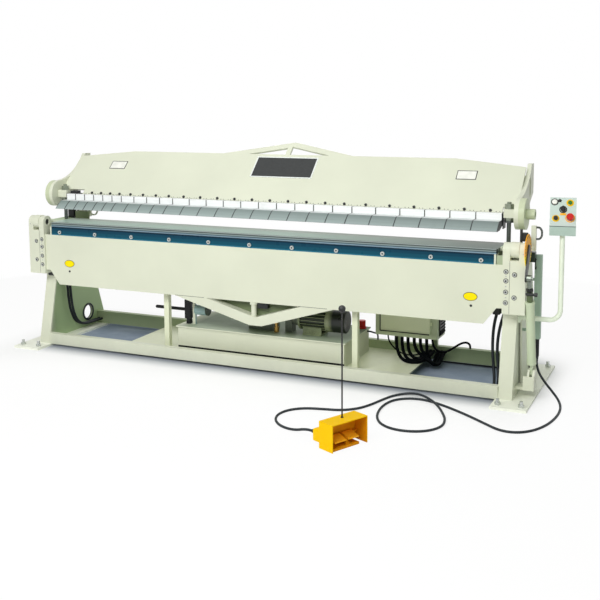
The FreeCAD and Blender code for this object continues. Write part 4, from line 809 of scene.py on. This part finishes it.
# Hoses start under the bed near its ends; places are given outward from bed_half
bed_half = 1535
shelf_z = 560
hose_drop = 64
hose_radius = 9.0
tank_hose_radius = 5.5
left_hose_start = (77, 228)
left_hose_gap = 24
left_hose_route = (
    (76, 240, 364), (76, 248, 266), (75, 267, 170), (73, 314, 85), (73, 404, 52), (72, 512, 50))
right_hose_starts = ((-16, 124), (20, 176))
right_hose_routes = (
    ((-38, 152, 428), (-52, 172, 362), (-58, 184, 291), (-58, 186, 218), (-51, 184, 146),
     (-40, 165, 78), (-28, 107, 40), (-24, 28, 34)),
    ((-8, 182, 411), (-25, 186, 334), (-32, 188, 255), (-28, 187, 175), (-19, 176, 97),
     (-8, 121, 44), (-3, 35, 34)))
side_hose_route = (
    (93, 224, 356), (37, 224, 356), (10, 214, 281), (0, 210, 219), (0, 206, 157), (6, 189, 98),
    (13, 145, 55), (18, 87, 35), (18, 19, 34))
tank_hose_route = [
    (590, 488, 188), (612, 488, 188), (624, 508, 178), (628, 536, 168), (628, 562, 160), (624, 588, 150),
    (620, 612, 130), (620, 612, 105)]


def gland_cable(x, route):
    start = [(x, gland_y, gland_low), (x, gland_y, gland_low - cable_drop)]
    return start + list(route) + [(route[-1][0], rear_rail_y, route[-1][2])]


def drop(x, y):
    """First two points of a hose, straight down from the bed."""
    return [(x, y, shelf_z), (x, y, shelf_z - hose_drop)]


def stand_hoses():
    routes = []
    out, y = left_hose_start
    for shift in (0, left_hose_gap):
        points = drop(-bed_half - out + shift, y)
        points += [(-bed_half - beyond + shift, across, z) for beyond, across, z in left_hose_route]
        routes.append(points + [(points[-1][0], rear_rail_y, points[-1][2])])
    rights = [drop(bed_half + out, y) for out, y in right_hose_starts] + [[]]
    for points, route in zip(rights, right_hose_routes + (side_hose_route,)):
        points += [(bed_half + beyond, across, z) for beyond, across, z in route]
        routes.append(points + [(points[-1][0], front_rail_back, points[-1][2])])
    return [(points, hose_radius) for points in routes] + [(tank_hose_route, tank_hose_radius)]


cables = [(gland_cable(x, route), cable_radius) for x, route in zip(gland_xs, cable_routes)]
cables += [(thin_cable_route, thin_cable_radius), (rail_cable_route, rail_cable_radius)]
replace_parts(curve_piece("cabinet_cable_set", cables, "black_rubber", bundle_skin), "cabinet_cables")
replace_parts(curve_piece("machine_hoses", stand_hoses(), "black_rubber"), "hydraulic_hoses")

# Slanted panel: plates in the place of its labels, and the set screws between the finger bolts.
# A plate is given by its left and right end along X and its low and high end up the slope.
panel_slope = radians(44)
panel_low = extent("beam_panel")[0]
panel_out = Vector((0, -sin(panel_slope), cos(panel_slope)))
panel_up = Vector((0, cos(panel_slope), sin(panel_slope)))
panel_front = Vector((0, panel_low.y, panel_low.z))
label_places = ((-1304, -1176, 240, 312), (1196, 1320, 240, 312))
badge_place = (-178, 263, 206, 386)
label_frame, badge_frame = 5, 9
label_thick, badge_thick, badge_face_thick = 0.8, 2.0, 1.2
face_sunk = 0.1
plate_bevel = 0.4


def on_panel(x, rise, out=0.0):
    return Vector((x, 0, 0)) + panel_front + panel_up * rise + panel_out * out


def panel_plates(name, places, inset, out, thick, slot):
    """Plates on the slanted panel, each drawn in by a frame's width."""
    def build(work):
        for left, right, low, high in places:
            left, right, low, high = left + inset, right - inset, low + inset, high - inset
            outline = ((left, low), (right, low), (right, high), (left, high))
            slab(work, [on_panel(x, rise, out) for x, rise in outline], thick, plate_bevel)

    piece_from(name, build, "beam", slot)


panel_plates("label_backs", label_places, 0, 0, label_thick, "black_plastic")
panel_plates("label_faces", label_places, label_frame, label_thick - face_sunk, label_thick, "white_plastic")
panel_plates("badge_back", [badge_place], 0, 0, badge_thick, "zinc_steel")
panel_plates("badge_face", [badge_place], badge_frame, badge_thick - face_sunk, badge_face_thick,
             "black_steel")

set_screw_rise = 6
set_screw_radius = 2.6
set_screw_high = 1.5
set_screw_parts = (0.14, 0.28, 0.72, 0.86)


def set_screws(work):
    for node, count in finger_counts.items():
        left, pitch = finger_pitch(node)
        for x in [left + pitch * (n + part) for n in range(count) for part in set_screw_parts]:
            disc(work, on_panel(x, set_screw_rise), panel_out, set_screw_radius, set_screw_high, 8)


piece_from("set_screws", set_screws, "beam")

# Bending apron: plain ovals, screws, black socket hexagons on the bar and bracket bolts and dark rings round
# the bracket bolts as painted shade, seams and painted shadow lines.
# Places on it are (X, Z); an oval's size is its width and height.
apron_front = extent("apron_plate")[0].y
apron_low = extent("apron_plate")[0].z
bolt_face = extent("apron_bolts")[0].y
bar_face = extent("apron_bar")[0].y
bracket_face = extent("hinge_brackets")[0].y
bracket_low = extent("hinge_brackets")[0].z
front_way = (0, -1, 0)
oval_places = ((-1378, 585), (1392, 585))
oval_rim, oval_rim_thick = (82, 50), 0.8
oval_face, oval_face_thick = (76, 44), 1.4
screw_places = ((-1378, 532), (1396, 533))
screw_radius, screw_high = 7, 3


def ovals(name, size, thick, slot, skin=None):
    def build(work):
        wide, high = size
        for x, z in oval_places:
            slab(work, [(x + wide / 2 * cos(turn), apron_front, z + high / 2 * sin(turn))
                        for turn in circle_turns(32)], thick, plate_bevel)

    piece_from(name, build, "apron", slot, skin)


ovals("oval_rims", oval_rim, oval_rim_thick, "black_plastic")
ovals("oval_faces", oval_face, oval_face_thick, "yellow_paint", oval_skin)


def apron_screws(work):
    for x, z in screw_places:
        disc(work, (x, apron_front, z), front_way, screw_radius, screw_high)


piece_from("apron_screws", apron_screws, "apron")

bar_bolts = range(-5, 6)
bar_bolt_z = 796
bar_bolt_pitch = 290
bar_bolt_high = 7
bracket_bolts = ((1593, 743), (1593, 692), (1593, 629), (1593, 569), (1640, 729), (1640, 600))
socket_radius, socket_high = 5.5, 0.5
bolt_shade_ring = (11, 14, 0.6)


# Black hexagons and rings: painted shade in the bolts' socket recesses and round the bracket bolts' heads
def bolt_socket_shade(work):
    for n in bar_bolts:
        disc(work, (n * bar_bolt_pitch, bar_face - bar_bolt_high, bar_bolt_z), front_way, socket_radius,
             socket_high, hexagon)
    for side in (-1, 1):
        for x, z in bracket_bolts:
            annulus(work, (side * x, bracket_face, z), front_way, *bolt_shade_ring)
            disc(work, (side * x, bolt_face, z), front_way, socket_radius, socket_high, hexagon)


piece_from("bolt_socket_shade", bolt_socket_shade, "apron")

# Seams: a joint down each bracket, and two dark strips along the apron's lower edge as painted shadow lines
bracket_seam_x = 1613
bracket_seam_top = 806
bracket_seam_half = 0.8
bracket_seam_start = 2
seam_proud = 0.5
shadow_line_ends = ((-545, -330), (330, 520))
shadow_line_depth, shadow_line_rise = (-0.6, 4), (-0.5, 2.2)
seam_chamfer, shadow_line_chamfer = 0.2, 0.3


def seam_and_shadow_boxes():
    for x in (-bracket_seam_x, bracket_seam_x):
        yield ((x - bracket_seam_half, bracket_face - seam_proud, bracket_low + bracket_seam_start),
               (x + bracket_seam_half, bracket_face + seam_proud, bracket_seam_top), seam_chamfer)
    for left, right in shadow_line_ends:
        yield ((left, apron_front + shadow_line_depth[0], apron_low + shadow_line_rise[0]),
               (right, apron_front + shadow_line_depth[1], apron_low + shadow_line_rise[1]), shadow_line_chamfer)


blocks_from("seams_and_shadow_lines", seam_and_shadow_boxes(), "apron")
blocks_from("strut_stop", [((40, apron_front + 15, 396), (112, 24, 432), 3)], "apron")

# Angle scale on the dial's outer face
dial_low, dial_high = extent("angle_dial")
dial_radius = (dial_high.y - dial_low.y) / 2
dial_face = Vector((dial_high.x, (dial_low.y + dial_high.y) / 2, (dial_low.z + dial_high.z) / 2))
scale_steps = 28
long_every = 4
long_mark, short_mark = 24, 13
mark_half = 1.6
mark_thick = 0.5
mark_inset = 2


def scale_marks(work):
    for n in range(scale_steps):
        turn = radians(-180 + 360 * n / scale_steps)
        way = Vector((0, cos(turn), sin(turn)))
        across = Vector((0, -sin(turn), cos(turn))) * mark_half
        start = dial_face + way * (dial_radius - mark_inset)
        stop = start - way * (short_mark if n % long_every else long_mark)
        slab(work, (start - across, start + across, stop + across, stop - across), mark_thick)


piece_from("scale_marks", scale_marks, "apron")

# Stands: black hole rims on both faces of the webs, pressure line beside the cylinder, and a dark strip
# beside the line as painted shadow
hole_y, hole_z = 492, 121
rim_bore, rim_reach, rim_thick = 51, 64, 5
web_outer = 1640
web_inner = 1628


def hole_rims(work):
    for side in (-1, 1):
        for x, way in ((web_inner, -side), (web_outer, side)):
            annulus(work, (side * x, hole_y, hole_z), (way, 0, 0), rim_bore, rim_reach, rim_thick, 40)


piece_from("hole_rims", hole_rims, slot="black_rubber")
line_radius = 7.5
line_x = web_outer + 8
line_route = [(line_x, y, z) for y, z in ((128, 452), (138, 320), (150, 200), (160, 110), (166, 40))]
line_shadow_corners = [(web_outer, y, z) for y, z in ((108, 452), (122, 452), (160, 40), (146, 40))]
line_shadow_thick = 0.8
curve_piece("pressure_line", [(line_route, line_radius)], "ivory_paint")
piece_from("line_shadow", lambda work: slab(work, line_shadow_corners, line_shadow_thick))

# Plain blocks: posts behind the right hub, hose block over the right hoses and dark bed end at the left,
# switch and stop plate in the left throat, and dark strips along the tank's and rear rail's foot as painted
# shadow
blocks_from("hub_posts", (
    ((1644, 64, 790), (1658, 78, 968), 2), ((1658, 62, 900), (1688, 80, 950), 3),
    ((1640, 62, 770), (1662, 80, 800), 2)))
blocks_from("hose_blocks", (
    ((1492, 96, 464), (1533, 170, 560), 3), ((-1624, 50, 474), (-1548, 110, 518), 3)))
blocks_from("throat_switch", [((-1630, 300, 846), (-1577, 330, 910), 3)], slot="black_plastic")
blocks_from("throat_plate", [((-1566, 300, 832), (-1450, 312, 904), 2)], "frame", "ivory_paint",
            throat_skin)
blocks_from("tank_foot_shadow", [((-590, 73.6, 50), (590, 76, 76), 0.5)], slot="black_plastic")
blocks_from("rail_foot_shadow", [((1040, 595, 5), (1445, 600.4, 14), 0.5)], slot="black_plastic")

# Cabinet: a black seal along the door's left and lower edges, dark as painted shade of its groove, and
# louvres on a plate on the right side
door_low, door_high = extent("cabinet_door")
cabinet_side = extent("cabinet")[1].x
seal_shade_left, seal_shade_low = door_low.x + 1, door_low.z + 1
seal_shade_front, seal_shade_back = door_low.y - 0.6, door_low.y + 1
seal_shade_right = 1038
seal_shade_wide = 6
louvre_count, louvre_pitch, louvre_high = 12, 20, 12
louvre_low = 222
louvre_start, louvre_end = 438, 550
plate_low, plate_high = (432, 214), (556, 470)
louvre_plate, louvre_out = 4, 9

seal_shade_corner = (seal_shade_left, seal_shade_front, seal_shade_low)
blocks_from("door_seal_shade", (
    (seal_shade_corner, (seal_shade_left + seal_shade_wide, seal_shade_back, door_high.z - 1), 0.3),
    (seal_shade_corner, (seal_shade_right, seal_shade_back, seal_shade_low + seal_shade_wide), 0.3)), "cabinet_door", "black_rubber")
louvre_boxes = [((cabinet_side, *plate_low), (cabinet_side + louvre_plate, *plate_high), 1)]
for low in range(louvre_low, louvre_low + louvre_count * louvre_pitch, louvre_pitch):
    corner = (cabinet_side + louvre_plate, louvre_start, low)
    louvre_boxes.append((corner, (cabinet_side + louvre_out, louvre_end, low + louvre_high), 1.5))
blocks_from("louvres", louvre_boxes, "frame", "black_plastic", bundle_skin)

# Pendant: rings and domes round the controls, placed along the sloped face and up it
pendant_middle = Vector((1868, 107, 0))
pendant_turn = radians(8)
pendant_slope = radians(60)
pendant_front = 67
pendant_edge_z = 1018
ring_thick = 1.6
dome_high = 9
pilot_at, cap_at = (-46, 120), (-19, 128)
pilot_radius, cap_radius = 15, 9
tab_thick = 1.0
tab_corners = ((-16, 42), (16, 42), (16, 54), (-16, 54))


def pendant_point(across, rise, out=0.0):
    """Point on the sloped face: along it, up it and out of it."""
    y = pendant_front - pendant_middle.y + rise * cos(pendant_slope) - out * sin(pendant_slope)
    z = pendant_edge_z + rise * sin(pendant_slope) + out * cos(pendant_slope)
    return Vector((pendant_middle.x + across * cos(pendant_turn) - y * sin(pendant_turn),
                   pendant_middle.y + across * sin(pendant_turn) + y * cos(pendant_turn), z))


pendant_out = pendant_point(0, 0, 1) - pendant_point(0, 0)

# Name, place across and up, bore and outer radius, slot
for name, across, rise, bore, reach, slot in (
        ("push_ring", -38, 22, 13, 20, "yellow_paint"),
        ("stop_ring", 38, 26, 21, 26, "orange_paint"),
        ("start_ring", 36, 116, 12, 20, "yellow_paint"),
        ("selector_ring", 0, 76, 16, 21, "black_plastic"),
        ("pilot_ring", *pilot_at, pilot_radius, 20, "black_plastic")):
    piece_from(name, lambda work: annulus(
        work, pendant_point(across, rise), pendant_out, bore, reach, ring_thick), slot=slot)


def dome(work, centre, radius):
    """Low cap; its profile is in shares of its radius and height."""
    profile = [(radius * part, dome_high * rise) for part, rise in ((1, 0), (1, 0.4), (0.85, 0.8), (0.4, 1))]
    turned(work, centre, pendant_out, profile, 24)


for name, place, radius, slot in (("pilot_dome", pilot_at, pilot_radius, "white_plastic"),
                                  ("pilot_cap", cap_at, cap_radius, "black_plastic")):
    piece_from(name, lambda work: dome(work, pendant_point(*place), radius), slot=slot)
tab_outline = [pendant_point(*place) for place in tab_corners]
piece_from("selector_tab", lambda work: slab(work, tab_outline, tab_thick), slot="orange_paint")

# Bending cylinder: gland, nut and hose tee on its tilted line, and the wires at the conduit's foot
cylinder_pivot = Vector((1726, 75, 150))
cylinder_tilt = radians(14.31)
cylinder_way = Vector((0, -sin(cylinder_tilt), cos(cylinder_tilt)))
barrel_end = 450
gland_long = 62
gland_bore, gland_reach = 10.5, 17
nut_reach, nut_long = 20, 14
tee_along = 48
tee_offset = Vector((6, -24, 0))
tee_half = 24
tee_pipe = ((8, 0), (8, 2 * tee_half))
tee_nut = ((12, 0), (12, 12), (9, 16))
tee_branch = ((7, 0), (7, 10))
wire_radius = 2.6


def cylinder_point(along):
    return cylinder_pivot + cylinder_way * along


def cylinder_ring(name, along, outer, thick, sides, slot):
    def build(work):
        annulus(work, cylinder_point(along), cylinder_way, gland_bore, outer, thick, sides)

    piece_from(name, build, "bend_cylinder_right", slot)


cylinder_ring("rod_gland", barrel_end, gland_reach, gland_long, round_sides, "olive_paint")
cylinder_ring("gland_nut", barrel_end + gland_long, nut_reach, nut_long, hexagon, "black_steel")


def hose_tee(work):
    """Pipe across, its hexagon end and the branch to the barrel."""
    middle = cylinder_point(barrel_end + tee_along) + tee_offset
    end = Vector((tee_half, 0, 0))
    turned(work, middle - end, (1, 0, 0), tee_pipe, 16)
    turned(work, middle + end, (1, 0, 0), tee_nut, hexagon)
    turned(work, middle, (0, 1, 0), tee_branch, 12)


piece_from("hose_tee", hose_tee, "bend_cylinder_right")
wire_routes = (
    ((1716, 222, 300), (1702, 232, 262), (1706, 236, 232), (1714, 232, 204), (1722, 226, 190)),
    ((1718, 226, 300), (1706, 238, 250), (1704, 240, 220), (1712, 236, 196), (1722, 228, 184)))
curve_piece("loose_wires", [(route, wire_radius) for route in wire_routes], "black_rubber", wire_skin)

# Room: a dim even light, plain white behind the machine and in its reflections
room_colour = (0.95, 1.0, 0.91, 1.0)
room_strength = 0.16
plain_strength = 1.0

world = bpy.data.worlds.new("world")
scene.world = world
world.use_nodes = True
world.node_tree.nodes.clear()
room = Nodes(world.node_tree)
lights = [room.add("ShaderNodeBackground", ("Color", colour), ("Strength", strength)).outputs[0]
          for colour, strength in ((room_colour, room_strength), (white, plain_strength))]
lit = room.add("ShaderNodeMixShader", (0, room.plainly_seen()), (1, lights[0]), (2, lights[1]))
room.add("ShaderNodeOutputWorld", (0, lit.outputs[0]))

# Lamps: name, place, point aimed at, width and height in metres, watts, colour
plain_light = (1.0, 1.0, 1.0)
lamps = (("key", (-100, -4700, 3900), (100, 0, 600), (5.0, 2.2), 248, plain_light),
         ("fill", (4600, -3200, 2600), (0, 0, 700), (3.0, 3.0), 22, (0.90, 1.0, 0.82)),
         ("top", (0, 0, 4800), (0, 0, 0), (6.0, 4.0), 70, plain_light),
         ("rear", (0, 5200, 2800), (0, 300, 600), (5.0, 3.0), 100, plain_light))


def add_lamp(name, where, aim, size, watts, colour):
    data = bpy.data.lights.new(name, "AREA")
    data.color = colour
    data.shape = "RECTANGLE"
    data.size, data.size_y = size
    data.energy = watts
    light = bpy.data.objects.new(name, data)
    scene.collection.objects.link(light)
    light.location = spot(*where)
    light.rotation_euler = (spot(*aim) - light.location).to_track_quat("-Z", "Y").to_euler()
    return light


lit_lamps = {row[0]: add_lamp(*row) for row in lamps}
# Without this, the rear lamp's reflection whitens the bed and the tank's lid
lit_lamps["rear"].visible_glossy = False

# Floor. A patch is a band along X and one along Y, each with its low end, high end and softness in
# metres. A camera ray sees plain white mixed in, by how much depends on the patch. The floor is painted
# with shadow under the machine and in front of its front rail.
floor_reach = 30
white_from, white_to = 2.3, 4.2
under_shadow_patch = ((-1.52, 1.56, 0.30), (0.10, 0.66, 0.36))
near_patch = ((-1.70, 1.62, 0.30), (-0.30, 0.70, 0.45))
front_shadow_patch = ((-1.52, 1.56, 0.20), (-0.06, 0.0, 0.14))
under_falloff = 1.6
under_shadow_tones = (srgb(138, 151, 170), srgb(155, 166, 184))
front_shadow_tone = srgb(104, 112, 130)
front_shadow_strength = 0.62
white_away, white_near = 0.93, 0.60
shade_full = 0.35


def floor_skin():
    """White floor that keeps the shadow near the machine, with painted shadow under it and in front of its
    front rail, and is plain white further out.
    """
    skin = Skin("floor_white")
    far = skin.add("ShaderNodeVectorMath", (0, skin.place), operation="LENGTH")
    fade = skin.ramp(far.outputs["Value"], white_from, white_to)
    under = skin.math("POWER", skin.patch(*under_shadow_patch), under_falloff)
    near = skin.patch(*near_patch)
    front = skin.patch(*front_shadow_patch)
    clouds = skin.ramp(skin.noise(6.0, 5.0, 0.6), 0.35, 0.7)
    tone = skin.mix(under, white, skin.mix(clouds, *under_shadow_tones))
    tone = skin.mix(skin.ramp(front, 0.0, 1.0, 0.0, front_shadow_strength), tone, front_shadow_tone)
    skin.finish(tone, 0.9, 0.0, 0.1)
    clear = skin.times(skin.ramp(near, 0.0, 1.0, white_away, white_near),
                       skin.ramp(under, 0.0, shade_full, 1.0, 0.0))
    glow = skin.add("ShaderNodeEmission", ("Color", white))
    lift = skin.times(skin.plainly_seen(), skin.math("MAXIMUM", fade, clear))
    blend = skin.add("ShaderNodeMixShader", (0, lift), (1, skin.shader.outputs[0]), (2, glow.outputs[0]))
    skin.feed(skin.tree.nodes["Material Output"].inputs["Surface"], blend.outputs[0])
    return skin.data


floor_mesh = bpy.data.meshes.new("floor")
floor_corners = ((-1, -1), (1, -1), (1, 1), (-1, 1))
floor_mesh.from_pydata([(x * floor_reach, y * floor_reach, 0) for x, y in floor_corners], [], [(0, 1, 2, 3)])
floor = bpy.data.objects.new("floor", floor_mesh)
scene.collection.objects.link(floor)
floor_mesh.materials.append(floor_skin())

scene.view_settings.view_transform = "Standard"
